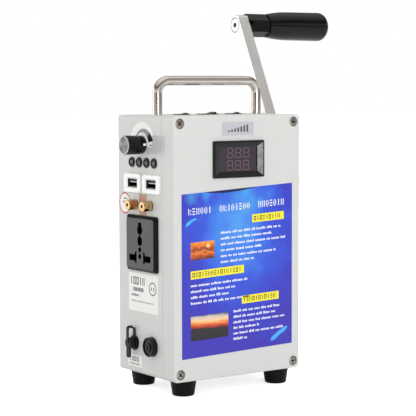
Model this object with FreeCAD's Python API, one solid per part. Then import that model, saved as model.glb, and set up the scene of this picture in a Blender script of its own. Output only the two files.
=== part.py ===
import FreeCAD, Part
import math
import os
from FreeCAD import Vector

# Hand crank generator, millimetres. +Z is up and the origin lies on the ground, under the
# middle of the enclosure. The front cover faces -Y, the sockets face -X, the crank is on +X.

# ---------------------------------------------------------------- driving dimensions
# enclosure
case_width = 120.0
case_depth = 82.0
case_height = 202.5
case_wall = 2.5
cover_depth = 16.0
corner_radius = 3.5
back_edge_radius = 5.0
front_edge_radius = 1.0
seam_bevel = 0.5
lap_length = 2.0
lap_thickness = 1.2
lap_clearance = 0.15
gasket_thickness = 1.0
# cover screws and their posts
screw_inset_x = 6.0
screw_inset_z = 5.8
screw_post_radius = 5.0
screw_post_length = 14.0
screw_shank_radius = 2.0
screw_head_radius = 3.4
screw_head_height = 2.6
screw_recess_radius = 4.0
screw_recess_depth = 3.2
screw_length = 18.0
insert_outer_radius = 2.9
insert_length = 8.0
hole_clearance = 0.2
thread_clearance = 0.05
cross_slot_width = 1.1
cross_slot_length = 4.2
cross_slot_depth = 1.5
# feet
foot_height = 12.0
foot_top_radius = 10.2
foot_bottom_radius = 8.4
foot_edge_radius = 1.4
foot_inset_x = 15.5
foot_inset_front = 11.0
foot_inset_rear = 14.5
foot_bore_radius = 4.4
foot_web = 5.0
foot_screw_length = 11.0
foot_screw_head_radius = 3.6
foot_screw_head_height = 2.4
foot_boss_radius = 4.0
foot_boss_height = 8.0
# carry handle
handle_rod_radius = 3.8
handle_leg_spacing = 95.0
handle_rise = 30.4
handle_bend_radius = 9.6
handle_screw_radius = 2.5
handle_screw_depth = 11.0
handle_screw_head_radius = 4.5
handle_screw_head_height = 2.8
# rocker switches, left to right along the top
switch_spacing = 24.8
switch_frame_thickness = 0.6
switch_body_depth = 12.0
switch_sizes = ((12.0, 8.0), (15.0, 10.8), (12.0, 8.0))
switch_lip = 0.6
switch_body_wall = 0.8
switch_rocker_gap = 0.15
switch_rocker_rise = 1.0
switch_rocker_angle = 8.0
switch_rocker_keel = 0.45
switch_pin_radius = 1.0
switch_pin_drop = 0.6
switch_pin_length = 0.55
switch_cavity_floor = 0.4
switch_corner_radius = 1.0
switch_edge_radius = 0.3
# panel meter
meter_width = 48.4
meter_height = 28.6
meter_below_top = 33.8
meter_flange = 1.8
meter_body_width = 45.0
meter_body_height = 25.6
meter_body_depth = 20.0
meter_body_wall = 1.5
meter_rim = 1.5
meter_slope_depth = 2.0
meter_opening_width = 37.0
meter_opening_height = 19.2
meter_lip = 0.8
meter_window_thickness = 1.5
meter_face_bevel = 0.5
meter_corner_radius = 1.0
meter_window_lap = 0.8
meter_board_thickness = 1.6
meter_display_depth = 6.0
cutout_clearance = 0.2
# front label, a sticker whose top and bottom edges rise to the right
sticker_thickness = 0.25
label_width = 105.2
label_left_inset = 7.1
label_meter_gap = 6.0
label_left_height = 125.9
label_bottom_rise = 3.1
label_top_rise = 5.0
plate_width = 29.8
plate_height = 10.4
plate_above_meter = 4.0
plate_shift_x = -0.4
# level knob, its sticker and its potentiometer, on the left side
knob_below_top = 22.6
knob_from_seam = 27.4
knob_length = 17.0
knob_base_radius = 7.1
knob_tip_radius = 7.4
knob_base_rounding = 0.4
knob_flutes = 40
knob_flute_radius = 0.3
knob_flute_start = 3.2
knob_cap_radius = 7.1
knob_cap_proud = 0.8
knob_cap_seat_radius = 5.8
knob_cap_thickness = 0.9
knob_cap_bevel = 0.25
knob_gap = 0.5
knob_nut_room = 0.4
pot_body_radius = 8.2
pot_body_depth = 9.0
pot_bushing_radius = 3.5
pot_shaft_radius = 3.0
pot_nut_across_flats = 10.2
pot_nut_corner_radius = 6.0
pot_shaft_proud = 11.9
pot_nut_height = 2.0
dial_radius = 17.6
dial_drop = 6.9
# seal tape across the seam
tape_height = 14.4
tape_center_below_top = 22.3
tape_rear_reach = 13.0
tape_front_reach = 4.2
tape_foot_reach = 21.0
tape_foot_height = 5.4
# lamps
lamp_count = 4
lamp_spacing = 10.5
lamp_row_from_seam = 26.3
lamp_below_top = 36.4
lamp_bezel_radius = 3.9
lamp_bezel_height = 1.4
lamp_barrel_radius = 3.2
lamp_barrel_depth = 3.5
lamp_led_radius = 2.5
lamp_led_proud = 1.8
lamp_clearance = 0.06
lamp_led_flange = 0.4
lamp_bevel = 0.5
# USB ports
usb_from_seam = (40.1, 13.6)
usb_below_top = 52.7
usb_frame_width = 23.4
usb_frame_height = 15.0
usb_frame_thickness = 2.2
usb_frame_bevel = 0.6
usb_funnel = 1.6
usb_frame_radius = 2.6
usb_mouth_width = 12.5
usb_mouth_height = 5.1
usb_shell_wall = 0.35
usb_shell_depth = 14.0
usb_shell_inset = 0.5
usb_tongue_width = 11.0
usb_tongue_thickness = 1.8
usb_tongue_length = 9.0
usb_tongue_rise = 1.1
usb_collar = 0.8
# brass terminals
terminals_from_seam = (37.3, 16.3)
terminal_below_top = 69.4
terminal_radius = 4.1
terminal_length = 8.0
terminal_bore_radius = 1.2
terminal_bore_depth = 6.0
terminal_front_wall = 2.0
terminal_knurls = 18
terminal_knurl_depth = 0.3
terminal_side_bore_radius = 0.8
terminal_stud_radius = 2.0
terminal_bush_radius = 3.0
terminal_bush_flange = 0.8
terminal_bush_flange_radius = 3.7
terminal_nut_across_flats = 6.8
terminal_bevel = 0.5
terminal_knurl_margin = 1.2
terminal_nut_height = 3.0
terminal_stud_end = 2.0
round_label_radius = 8.8
round_label_back_gap = 4.4
round_label_above_terminals = 0.3
strip_width = 10.8
strip_height = 16.2
strip_from_seam = 26.6
strip_above_terminals = 0.4
# universal mains socket
socket_seam_gap = 5.1
socket_above_floor = 103.4
socket_width = 43.0
socket_height = 43.4
socket_rim = 1.5
socket_thickness = 3.4
socket_bevel = 2.3
socket_corner_radius = 2.0
socket_body_width = 39.0
socket_body_height = 37.0
socket_body_depth = 22.0
socket_hole_depth = 16.0
socket_contact_thickness = 0.8
socket_pocket_width = 6.0
socket_pocket_height = 10.0
socket_earth_radius = 3.7
socket_earth_rise = 10.6
socket_earth_slot_width = 4.8
socket_earth_slot_top = 16.4
socket_earth_point = 6.8
socket_link_width = 1.6
socket_lens_radius = 3.3
socket_lens_top = 5.9
socket_lens_bottom = -1.8
socket_round_radius = 2.1
socket_round_drops = (4.8, 10.0)
socket_blade_spread = 5.9
socket_blade_width = 2.4
socket_blade_height = 9.0
socket_blade_drop = 10.9
socket_wing_inner = 6.0
socket_wing_outer = 15.3
socket_wing_height = 5.0
socket_wing_drop = 11.4
# rating label
rating_width = 42.0
rating_height = 30.0
rating_from_seam = 26.8
rating_above_floor = 64.6
# charging jack with its cap
jack_from_seam = 39.6
jack_above_floor = 24.3
jack_flange_radius = 5.0
jack_flange_height = 1.8
jack_barrel_radius = 4.0
jack_barrel_depth = 12.0
jack_bore_radius = 2.8
jack_pin_radius = 1.0
jack_wall = 1.0
jack_bevel = 0.4
jack_pin_set_back = 1.0
cap_disc_radius = 4.3
cap_disc_height = 4.7
cap_gap = 0.3
cap_plug_radius = 2.6
cap_plug_bore = 1.3
cap_plug_length = 4.0
cap_tab_width = 4.4
cap_tab_length = 11.5
cap_tab_thickness = 1.6
strap_width = 2.6
strap_thickness = 0.9
strap_rise = 13.6
strap_overlap_gap = 0.15
strap_proud = 0.6
strap_stand_off = 0.3
strap_upper_lap = 1.0
strap_lower_lap = 0.6
strap_wall_gap = 0.05
strap_root = 0.5
strap_bend = 2.5
cap_edge_radius = 0.5
cap_tab_rounding = 2.0
port_label_width = 20.0
port_label_height = 9.4
port_label_from_seam = 39.4
port_label_above_floor = 10.0
# fuse holder
fuse_from_seam = 14.6
fuse_above_floor = 24.1
fuse_flange_radius = 7.7
fuse_flange_height = 1.2
fuse_barrel_radius = 5.8
fuse_barrel_depth = 24.0
fuse_bore_radius = 4.0
fuse_cap_radius = 7.5
fuse_cap_height = 3.1
fuse_cap_gap = 0.2
fuse_cap_stem_length = 6.0
fuse_stem_clearance = 0.1
fuse_cap_recess = 0.8
fuse_cap_rim = 1.2
fuse_cap_boss_radius = 3.4
fuse_slot_width = 1.2
fuse_slot_length = 4.0
fuse_slot_depth = 1.9
fuse_glass_radius = 2.5
fuse_glass_length = 20.0
fuse_grip = 3.0
fuse_cap_ribs = 3
fuse_rib_depth = 0.35
fuse_bevel = 0.4
fuse_end_cap_length = 5.0
fuse_tube_inset = 0.15
# crank
crank_height = 148.0
crank_y = 0.0
crank_radius = 142.0
crank_lean = 25.6
crank_offset = 11.0
arm_thickness = 10.0
arm_breadth = 15.8
arm_tip_overhang = 7.0
arm_tip_radius = 4.0
arm_edge_radius = 0.5
shaft_radius = 5.0
shaft_collar_radius = 8.0
shaft_flats = 8.0
shaft_end = 1.6
running_clearance = 0.05
seat_clearance = 0.02
axial_gap = 0.3
crank_nut_across_flats = 17.0
crank_nut_height = 5.0
wall_bush_radius = 8.0
wall_bush_flange_radius = 11.0
wall_bush_flange = 2.0
wall_boss_length = 5.0
plate_bush_radius = 7.5
plate_bush_length = 6.0
wall_boss_wall = 3.0
# grip
collar_across_flats = 17.0
collar_length = 21.2
collar_chamfer = 1.2
collar_slot_length = 2.6
collar_slot_low = 0.4
collar_slot_high = 3.4
collar_slot_floor = 3.2
grip_root_radius = 9.9
grip_root_bevel = 0.6
grip_swell = (10.0, 11.35)
grip_shoulder = (24.0, 12.15)
grip_body_radius = 12.4
grip_length = 63.5
grip_end_radius = 6.5
grip_gap = 0.3
spindle_radius = 4.0
spindle_length = 48.0
spindle_ring_radius = 4.8
spindle_ring_width = 2.0
spindle_ring_setback = 3.0
spindle_ring_room = 0.2
grip_end_room = 1.0
pivot_head_radius = 6.2
pivot_head_height = 4.6
pivot_head_bevel = 0.6
pivot_recess_clearance = 0.15
pivot_shank_radius = 4.0
pivot_shank_reach = 11.0
pivot_hex = 4.0
pivot_hex_depth = 3.0
# gear train
gear_module = 0.8
drive_teeth = 64
idler_pinion_teeth = 17
idler_teeth = 56
generator_teeth = 17
pressure_angle = 20.0
tooth_backlash = 0.16
drive_gear_width = 6.0
drive_gear_inset = 0.8
drive_hub_radius = 7.6
drive_hub_length = 5.0
gear_rim = 3.5
gear_web = 2.5
idler_gear_width = 5.0
idler_gear_gap = 1.2
idler_pinion_overhang = 1.0
idler_pin_radius = 2.5
idler_pin_boss_radius = 5.0
idler_pin_boss_length = 3.0
idler_hub_radius = 5.0
generator_pinion_overhang = 1.0
gear_plate_thickness = 2.0
gear_plate_gap = 1.6
gear_plate_half_width = 25.0
gear_plate_above = 31.0
gear_plate_below = 22.0
gear_plate_boss_radius = 4.0
gear_plate_boss_inset = 5.0
gear_plate_corner_radius = 5.0
gear_plate_peg_radius = 2.0
gear_plate_peg_proud = 0.8
# generator
generator_body_radius = 21.0
generator_body_length = 52.0
generator_shell = 2.0
generator_boss_radius = 6.5
generator_boss_height = 2.4
generator_shaft_radius = 2.5
generator_shaft_reach = 14.4
generator_tail_radius = 8.0
generator_tail_length = 3.0
# battery
cell_radius = 9.2
cell_length = 65.0
cell_pitch = 19.4
cells_across = 3
cells_up = 2
cradle_wall = 1.6
cradle_block_length = 12.0
cradle_margin = 2.0
cradle_gap = 0.3
cradle_fuse_gap = 1.6
cell_edge_radius = 0.8
# inverter board
board_width = 74.0
board_height = 96.0
board_thickness = 1.6
board_center_x = -13.0
board_below_generator = 20.4
board_standoff = 4.0
board_standoff_radius = 3.0
board_standoff_inset = 5.0
transformer_width = 38.0
transformer_height = 32.0
transformer_depth = 26.0
transformer_generator_gap = 2.6
transformer_winding = 22.0
transformer_flange = 3.0
transformer_coil_gap = 0.2
transformer_coil_radius = 3.0
capacitor_radius = 6.0
capacitor_length = 12.0
capacitor_pitch = 14.0
capacitor_margin = 2.0
heat_sink_width = 26.0
heat_sink_height = 16.0
heat_sink_depth = 14.0
heat_sink_fin = 2.0
heat_sink_base = 3.0
heat_sink_margin = 1.0

# ---------------------------------------------------------------- planes worked out from them
left = -case_width / 2
right = case_width / 2
front = -case_depth / 2
back = case_depth / 2
floor = foot_height
top = foot_height + case_height
seam = front + cover_depth
left_inner = left + case_wall
right_inner = right - case_wall
front_inner = front + case_wall
back_inner = back - case_wall
floor_inner = floor + case_wall
top_inner = top - case_wall

knob_y = seam + knob_from_seam
lamp_row_y = seam + lamp_row_from_seam
usb_ys = [seam + y for y in usb_from_seam]
terminal_ys = [seam + y for y in terminals_from_seam]
socket_y = seam + socket_seam_gap + socket_width / 2
jack_y = seam + jack_from_seam
fuse_y = seam + fuse_from_seam
knob_z = top - knob_below_top
lamp_z = top - lamp_below_top
usb_z = top - usb_below_top
terminal_z = top - terminal_below_top
socket_z = floor + socket_above_floor
meter_z = top - meter_below_top
jack_z = floor + jack_above_floor
fuse_z = floor + fuse_above_floor

crank_z = floor + crank_height
arm_inner = right + crank_offset
arm_outer = arm_inner + arm_thickness
lean = math.radians(crank_lean)
grip_y = crank_y + crank_radius * math.sin(lean)
grip_z = crank_z + crank_radius * math.cos(lean)
collar_end = arm_outer + collar_length

idler_z = crank_z - gear_module * (drive_teeth + idler_pinion_teeth) / 2
generator_z = idler_z - gear_module * (idler_teeth + generator_teeth) / 2
drive_gear_outer = right_inner - wall_boss_length - drive_gear_inset
drive_gear_inner = drive_gear_outer - drive_gear_width
idler_gear_outer = drive_gear_inner - idler_gear_gap
idler_gear_inner = idler_gear_outer - idler_gear_width
plate_outer = idler_gear_inner - generator_pinion_overhang - gear_plate_gap
plate_inner = plate_outer - gear_plate_thickness

screw_spots = [(x, z) for x in (left + screw_inset_x, right - screw_inset_x)
               for z in (floor + screw_inset_z, top - screw_inset_z)]
front_foot_spots = [(left + foot_inset_x, front + foot_inset_front),
                    (right - foot_inset_x, front + foot_inset_front)]
rear_foot_spots = [(left + foot_inset_x, back - foot_inset_rear),
                   (right - foot_inset_x, back - foot_inset_rear)]
foot_spots = front_foot_spots + rear_foot_spots
handle_xs = (-handle_leg_spacing / 2, handle_leg_spacing / 2)
switch_xs = [switch_spacing * i for i in (-1, 0, 1)]
switch_pin_z = top - switch_pin_drop
lamp_ys = [lamp_row_y + lamp_spacing * (i - (lamp_count - 1) / 2) for i in range(lamp_count)]
plate_boss_spots = [(crank_y + side * (gear_plate_half_width - gear_plate_boss_inset), z)
                    for side in (-1, 1)
                    for z in (crank_z + gear_plate_above - gear_plate_boss_inset,
                              generator_z - gear_plate_below + gear_plate_boss_inset)]
board_bottom = generator_z - board_below_generator
board_top = board_bottom + board_height
board_back = back_inner - board_standoff
board_front = board_back - board_thickness
board_spots = [(board_center_x + side * (board_width / 2 - board_standoff_inset), z)
               for side in (-1, 1)
               for z in (board_bottom + board_standoff_inset, board_top - board_standoff_inset)]

cradle_half_length = cell_length / 2 + cradle_gap + cradle_wall
cradle_x = left_inner + fuse_barrel_depth + cradle_fuse_gap + cradle_half_length

X_AXIS = Vector(1, 0, 0)
Y_AXIS = Vector(0, 1, 0)
Z_AXIS = Vector(0, 0, 1)
EPS = 1e-4


# ---------------------------------------------------------------- shape helpers
def block(x0, x1, y0, y1, z0, z1):
    """Box between two opposite corners."""
    return Part.makeBox(x1 - x0, y1 - y0, z1 - z0, Vector(x0, y0, z0))


def rod_x(radius, x0, x1, y, z):
    return Part.makeCylinder(radius, x1 - x0, Vector(x0, y, z), X_AXIS)


def rod_y(radius, y0, y1, x, z):
    return Part.makeCylinder(radius, y1 - y0, Vector(x, y0, z), Y_AXIS)


def rod_z(radius, z0, z1, x, y):
    return Part.makeCylinder(radius, z1 - z0, Vector(x, y, z0), Z_AXIS)


def tube_x(outer, inner, x0, x1, y, z):
    return rod_x(outer, x0, x1, y, z).cut(rod_x(inner, x0, x1, y, z))


def edges_along(shape, axis):
    """Straight edges parallel to an axis."""
    found = []
    for edge in shape.Edges:
        if edge.Curve.TypeId == "Part::GeomLine":
            direction = edge.tangentAt(edge.FirstParameter)
            if abs(abs(direction.dot(axis)) - 1) < EPS:
                found.append(edge)
    return found


def edges_on_plane(shape, axis, value):
    """Edges that lie wholly in a plane normal to an axis."""
    found = []
    for edge in shape.Edges:
        box = edge.BoundBox
        low = Vector(box.XMin, box.YMin, box.ZMin).dot(axis)
        high = Vector(box.XMax, box.YMax, box.ZMax).dot(axis)
        if abs(low - value) < 1e-3 and abs(high - value) < 1e-3:
            found.append(edge)
    return found


def rounded_block(axis, radius, x0, x1, y0, y1, z0, z1):
    """Box with the four edges along one axis rounded."""
    shape = block(x0, x1, y0, y1, z0, z1)
    return shape.makeFillet(radius, edges_along(shape, axis))


def hexagon_x(across_flats, x0, x1, y, z, turn=0.0):
    """Hexagonal bar along X; at turn 0 two of its flats face up and down."""
    corner = across_flats / math.sqrt(3)
    points = []
    for i in range(7):
        a = math.radians(60 * i) + turn
        points.append(Vector(x0, y + corner * math.cos(a), z + corner * math.sin(a)))
    return Part.Face(Part.makePolygon(points)).extrude(Vector(x1 - x0, 0, 0))


def turned_x(edges, y, z):
    """Solid of revolution about an X axis, from edges drawn in the plane Z = 0, with Y as the radius."""
    profile = Part.Face(Part.Wire(edges))
    solid = profile.revolve(Vector(0, 0, 0), X_AXIS, 360)
    solid.translate(Vector(0, y, z))
    return solid


def line(a, b):
    return Part.LineSegment(Vector(a[0], a[1], 0), Vector(b[0], b[1], 0)).toShape()


def arc(a, middle, b):
    return Part.Arc(Vector(a[0], a[1], 0), Vector(middle[0], middle[1], 0), Vector(b[0], b[1], 0)).toShape()


def fused(shapes):
    result = shapes[0]
    if len(shapes) > 1:
        result = result.multiFuse(shapes[1:])
    return result.removeSplitter()


def pan_head(radius, height):
    """Domed screw head on Z = 0, rising to its height, with a cross recess."""
    head = Part.makeCylinder(radius, height)
    head = head.makeFillet(0.45 * height, edges_on_plane(head, Z_AXIS, height))
    for angle in (0, 90):
        slot = block(-cross_slot_length / 2, cross_slot_length / 2, -cross_slot_width / 2,
                     cross_slot_width / 2, height - cross_slot_depth, height + 1)
        slot.rotate(Vector(0, 0, 0), Z_AXIS, angle)
        head = head.cut(slot)
    return head


# ---------------------------------------------------------------- enclosure
def case_outline(inset, y0, y1):
    """The enclosure's rounded outline, moved inward by inset, between two depths."""
    radius = max(corner_radius - inset, 0.6)
    return rounded_block(Y_AXIS, radius, left + inset, right - inset, y0, y1, floor + inset, top - inset)


def lap_ring(outer_inset, inner_inset, y0, y1):
    return case_outline(outer_inset, y0, y1).cut(case_outline(inner_inset, y0 - 1, y1 + 1))


def round_rear_edges(shape):
    """Round the four edges of the back, with a larger radius than the corners seen from the front."""
    for axis in (X_AXIS, Z_AXIS):
        envelope = block(left, right, seam - 1, back, floor, top)
        rear = [e for e in edges_along(envelope, axis) if e.BoundBox.YMin > seam]
        shape = shape.common(envelope.makeFillet(back_edge_radius, rear))
    return shape


def rear_case():
    shell = case_outline(0, seam, back)
    shell = shell.makeChamfer(seam_bevel, edges_on_plane(shell, Y_AXIS, seam))
    shell = round_rear_edges(shell)
    shell = shell.cut(case_outline(case_wall, seam - 1, back_inner))
    parts = [shell, lap_ring(case_wall - lap_thickness, case_wall, seam - lap_length, seam + 1)]
    for x, z in screw_spots:
        parts.append(rod_y(screw_post_radius, seam, seam + screw_post_length, x, z))
    for x, y in rear_foot_spots:
        parts.append(rod_z(foot_boss_radius, floor_inner - 1, floor_inner + foot_boss_height, x, y))
    for y, z in plate_boss_spots:
        parts.append(rod_x(gear_plate_boss_radius, plate_outer, right_inner + 1, y, z))
        parts.append(rod_x(gear_plate_peg_radius, plate_inner - gear_plate_peg_proud, plate_outer + 1, y, z))
    parts.append(rod_x(wall_bush_radius + wall_boss_wall, right_inner - wall_boss_length, right_inner + 1,
                       crank_y, crank_z))
    parts.append(rod_x(idler_pin_boss_radius, right_inner - idler_pin_boss_length, right_inner + 1,
                       crank_y, idler_z))
    for x, z in board_spots:
        parts.append(rod_y(board_standoff_radius, board_back, back_inner + 1, x, z))
    case = fused(parts)
    for x, z in screw_spots:
        case = case.cut(rod_y(insert_outer_radius, seam - 1, seam + insert_length, x, z))
        case = case.cut(rod_y(screw_shank_radius + hole_clearance, seam, seam + screw_post_length - 1, x, z))
    for x, y in rear_foot_spots:
        case = case.cut(rod_z(screw_shank_radius + thread_clearance, floor - 1,
                              floor_inner + foot_boss_height - 1, x, y))
    for x in handle_xs:
        case = case.cut(rod_z(handle_screw_radius + hole_clearance, top_inner - 1, top + 1, x, 0))
    for x, size in zip(switch_xs, switch_sizes):
        case = case.cut(switch_body(x, size, cutout_clearance, top_inner - 1, top + 1))
    case = case.cut(rod_x(wall_bush_radius, right_inner - wall_boss_length - 1, right + 1, crank_y, crank_z))
    case = case.cut(rod_x(idler_pin_radius + seat_clearance, right_inner - idler_pin_boss_length - 1,
                          right_inner, crank_y, idler_z))
    return case.cut(fused(left_wall_cutouts()))


def left_wall_cutouts():
    """Everything that is cut through the wall with the sockets."""
    x0 = left - 1
    x1 = left_inner + 1
    cuts = [rod_x(pot_bushing_radius + hole_clearance, x0, x1, knob_y, knob_z)]
    for y in lamp_ys:
        cuts.append(rod_x(lamp_barrel_radius + hole_clearance / 2, x0, x1, y, lamp_z))
    for y in usb_ys:
        cuts.append(usb_barrel(y, cutout_clearance / 2, x0, x1))
    for y in terminal_ys:
        cuts.append(rod_x(terminal_bush_radius + hole_clearance / 2, x0, x1, y, terminal_z))
    cuts.append(socket_barrel(cutout_clearance, x0, x1))
    cuts.append(rod_x(jack_barrel_radius + hole_clearance / 2, x0, x1, jack_y, jack_z))
    cuts.append(rod_x(fuse_barrel_radius + hole_clearance / 2, x0, x1, fuse_y, fuse_z))
    return cuts


def front_cover():
    shell = case_outline(0, front, seam)
    shell = shell.makeFillet(front_edge_radius, edges_on_plane(shell, Y_AXIS, front))
    shell = shell.makeChamfer(seam_bevel, edges_on_plane(shell, Y_AXIS, seam))
    shell = shell.cut(case_outline(case_wall, front_inner, seam + 1))
    rebate = lap_ring(case_wall - lap_thickness - lap_clearance, case_wall + lap_clearance,
                      seam - lap_length - gasket_thickness, seam + 1)
    parts = [shell.cut(rebate)]
    for x, z in screw_spots:
        parts.append(rod_y(screw_post_radius, front + 1, seam, x, z).cut(rebate))
    for x, y in front_foot_spots:
        boss = rod_z(foot_boss_radius, floor_inner - 1, floor_inner + foot_boss_height, x, y)
        parts.append(boss.cut(rebate))
    cover = fused(parts)
    for x, z in screw_spots:
        cover = cover.cut(rod_y(screw_shank_radius + hole_clearance, front - 1, seam + 1, x, z))
        cover = cover.cut(rod_y(screw_recess_radius, front - 1, front + screw_recess_depth, x, z))
    for x, y in front_foot_spots:
        cover = cover.cut(rod_z(screw_shank_radius + thread_clearance, floor - 1,
                                floor_inner + foot_boss_height - 1, x, y))
    return cover.cut(meter_barrel(cutout_clearance, front - 1, front_inner + 1))


def cover_gasket():
    y0 = seam - lap_length - gasket_thickness
    ring = lap_ring(case_wall - lap_thickness, case_wall, y0, seam - lap_length)
    return ring


def cover_screws():
    screws = []
    under_head = front + screw_recess_depth
    for x, z in screw_spots:
        head = pan_head(screw_head_radius, screw_head_height)
        shank = Part.makeCylinder(screw_shank_radius, screw_length + 0.5, Vector(0, 0, -screw_length))
        screw = head.fuse(shank)
        screw.rotate(Vector(0, 0, 0), X_AXIS, 90)
        screw.rotate(Vector(0, 0, 0), Y_AXIS, 3 * x + z)
        screw.translate(Vector(x, under_head, z))
        screws.append(screw.removeSplitter())
    return Part.makeCompound(screws)


def screw_inserts():
    inner = screw_shank_radius + thread_clearance
    inserts = []
    for x, z in screw_spots:
        outer = insert_outer_radius - seat_clearance
        insert = rod_y(outer, seam, seam + insert_length, x, z)
        inserts.append(insert.cut(rod_y(inner, seam - 1, seam + insert_length + 1, x, z)))
    return Part.makeCompound(inserts)


# ---------------------------------------------------------------- feet and handle
def feet():
    pads = []
    for x, y in foot_spots:
        pad = Part.makeCone(foot_bottom_radius, foot_top_radius, foot_height, Vector(x, y, 0), Z_AXIS)
        pad = pad.makeFillet(foot_edge_radius, edges_on_plane(pad, Z_AXIS, 0))
        pad = pad.cut(rod_z(foot_bore_radius, -1, foot_height - foot_web, x, y))
        pad = pad.cut(rod_z(screw_shank_radius + hole_clearance, 0, foot_height + 1, x, y))
        pads.append(pad)
    return Part.makeCompound(pads)


def foot_screws():
    screws = []
    seat = foot_height - foot_web
    for x, y in foot_spots:
        head = pan_head(foot_screw_head_radius, foot_screw_head_height)
        shank = Part.makeCylinder(screw_shank_radius, foot_screw_length + 0.5,
                                  Vector(0, 0, -foot_screw_length))
        screw = head.fuse(shank).removeSplitter()
        screw.rotate(Vector(0, 0, 0), X_AXIS, 180)
        screw.translate(Vector(x, y, seat))
        screws.append(screw)
    return Part.makeCompound(screws)


def carry_handle():
    x0, x1 = handle_xs
    bar_z = top + handle_rise - handle_rod_radius
    bend_z = bar_z - handle_bend_radius
    reach = handle_bend_radius * (1 - math.cos(math.radians(45)))
    path = Part.Wire([
        Part.LineSegment(Vector(x0, 0, top), Vector(x0, 0, bend_z)).toShape(),
        Part.Arc(Vector(x0, 0, bend_z), Vector(x0 + reach, 0, bar_z - reach),
                 Vector(x0 + handle_bend_radius, 0, bar_z)).toShape(),
        Part.LineSegment(Vector(x0 + handle_bend_radius, 0, bar_z),
                         Vector(x1 - handle_bend_radius, 0, bar_z)).toShape(),
        Part.Arc(Vector(x1 - handle_bend_radius, 0, bar_z), Vector(x1 - reach, 0, bar_z - reach),
                 Vector(x1, 0, bend_z)).toShape(),
        Part.LineSegment(Vector(x1, 0, bend_z), Vector(x1, 0, top)).toShape(),
    ])
    section = Part.Wire([Part.makeCircle(handle_rod_radius, Vector(x0, 0, top), Z_AXIS)])
    handle = path.makePipeShell([section], True, False)
    for x in handle_xs:
        handle = handle.cut(rod_z(handle_screw_radius + thread_clearance, top - 1,
                                  top + handle_screw_depth, x, 0))
    return handle


def handle_screws():
    screws = []
    for x in handle_xs:
        head = pan_head(handle_screw_head_radius, handle_screw_head_height)
        reach = case_wall + handle_screw_depth - 1.5
        shank = Part.makeCylinder(handle_screw_radius, reach + 0.5, Vector(0, 0, -reach))
        screw = head.fuse(shank).removeSplitter()
        screw.rotate(Vector(0, 0, 0), X_AXIS, 180)
        screw.translate(Vector(x, 0, top_inner))
        screws.append(screw)
    return Part.makeCompound(screws)


# ---------------------------------------------------------------- rocker switches
def switch_body(x, size, grow, z0, z1):
    length, width = size
    dx = length / 2 - switch_lip + grow
    dy = width / 2 - switch_lip + grow
    return block(x - dx, x + dx, -dy, dy, z0, z1)


def rocker_radius(size):
    """Radius about the pin that both ends of a rocker are turned to."""
    return size[0] / 2 - switch_lip - switch_body_wall - switch_rocker_gap


def rocker_half_width(size):
    return size[1] / 2 - switch_lip - switch_body_wall - switch_rocker_gap


def switch_frames():
    frames = []
    for x, size in zip(switch_xs, switch_sizes):
        length, width = size
        lip = rounded_block(Z_AXIS, switch_corner_radius, x - length / 2, x + length / 2,
                            -width / 2, width / 2, top, top + switch_frame_thickness)
        lip = lip.makeFillet(switch_edge_radius, edges_on_plane(lip, Z_AXIS, top + switch_frame_thickness))
        frame = lip.fuse(switch_body(x, size, 0, top - switch_body_depth, top + 0.5))
        room_x = rocker_radius(size) + switch_rocker_gap
        room_y = rocker_half_width(size) + switch_rocker_gap
        cavity = block(x - room_x, x + room_x, -room_y, room_y,
                       switch_pin_z - rocker_radius(size) - switch_cavity_floor,
                       top + switch_frame_thickness + 1)
        frame = frame.cut(cavity).removeSplitter()
        pin_reach = rocker_half_width(size) + switch_pin_length + running_clearance
        frame = frame.cut(rod_y(switch_pin_radius + running_clearance, -pin_reach, pin_reach, x,
                              switch_pin_z))
        frames.append(frame)
    return Part.makeCompound(frames)


def switch_rocker(x, size):
    """A rocker whose two pads form a shallow V, tipped so that its right pad stands up."""
    radius = rocker_radius(size)
    half_width = rocker_half_width(size)
    reach = 2 * radius
    rise = reach * math.tan(math.radians(switch_rocker_angle))
    corners = [(-reach, switch_rocker_rise + rise), (0, switch_rocker_rise),
               (reach, switch_rocker_rise + rise), (reach, -switch_rocker_keel * radius),
               (-reach, -switch_rocker_keel * radius)]
    points = [Vector(px, -half_width, pz) for px, pz in corners]
    pads = Part.Face(Part.makePolygon(points + [points[0]])).extrude(Vector(0, 2 * half_width, 0))
    rocker = rod_y(radius, -half_width, half_width, 0, 0).common(pads)
    pin = rod_y(switch_pin_radius, -half_width - switch_pin_length, half_width + switch_pin_length, 0, 0)
    rocker = rocker.fuse(pin).removeSplitter()
    rocker.rotate(Vector(0, 0, 0), Y_AXIS, -switch_rocker_angle)
    rocker.translate(Vector(x, 0, switch_pin_z))
    return rocker


# ---------------------------------------------------------------- panel meter and front stickers
def front_block(width, height, y0, y1, x, z):
    return block(x - width / 2, x + width / 2, y0, y1, z - height / 2, z + height / 2)


def meter_barrel(grow, y0, y1):
    return front_block(meter_body_width + 2 * grow, meter_body_height + 2 * grow, y0, y1, 0, meter_z)


def meter_outline(width, height, y):
    """Rectangular outline on the meter's axis at one depth."""
    corners = [(-1, -1), (1, -1), (1, 1), (-1, 1), (-1, -1)]
    return Part.makePolygon([Vector(i * width / 2, y, meter_z + j * height / 2) for i, j in corners])


def meter_mouth(face):
    """The cut that slopes in from the rim of the bezel to the window opening."""
    deep = face + meter_slope_depth
    spread = (meter_slope_depth + meter_face_bevel) / meter_slope_depth
    width = meter_opening_width + (meter_width - 2 * meter_rim - meter_opening_width) * spread
    height = meter_opening_height + (meter_height - 2 * meter_rim - meter_opening_height) * spread
    return Part.makeLoft([meter_outline(width, height, face - meter_face_bevel),
                          meter_outline(meter_opening_width, meter_opening_height, deep)], True, True)


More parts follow.
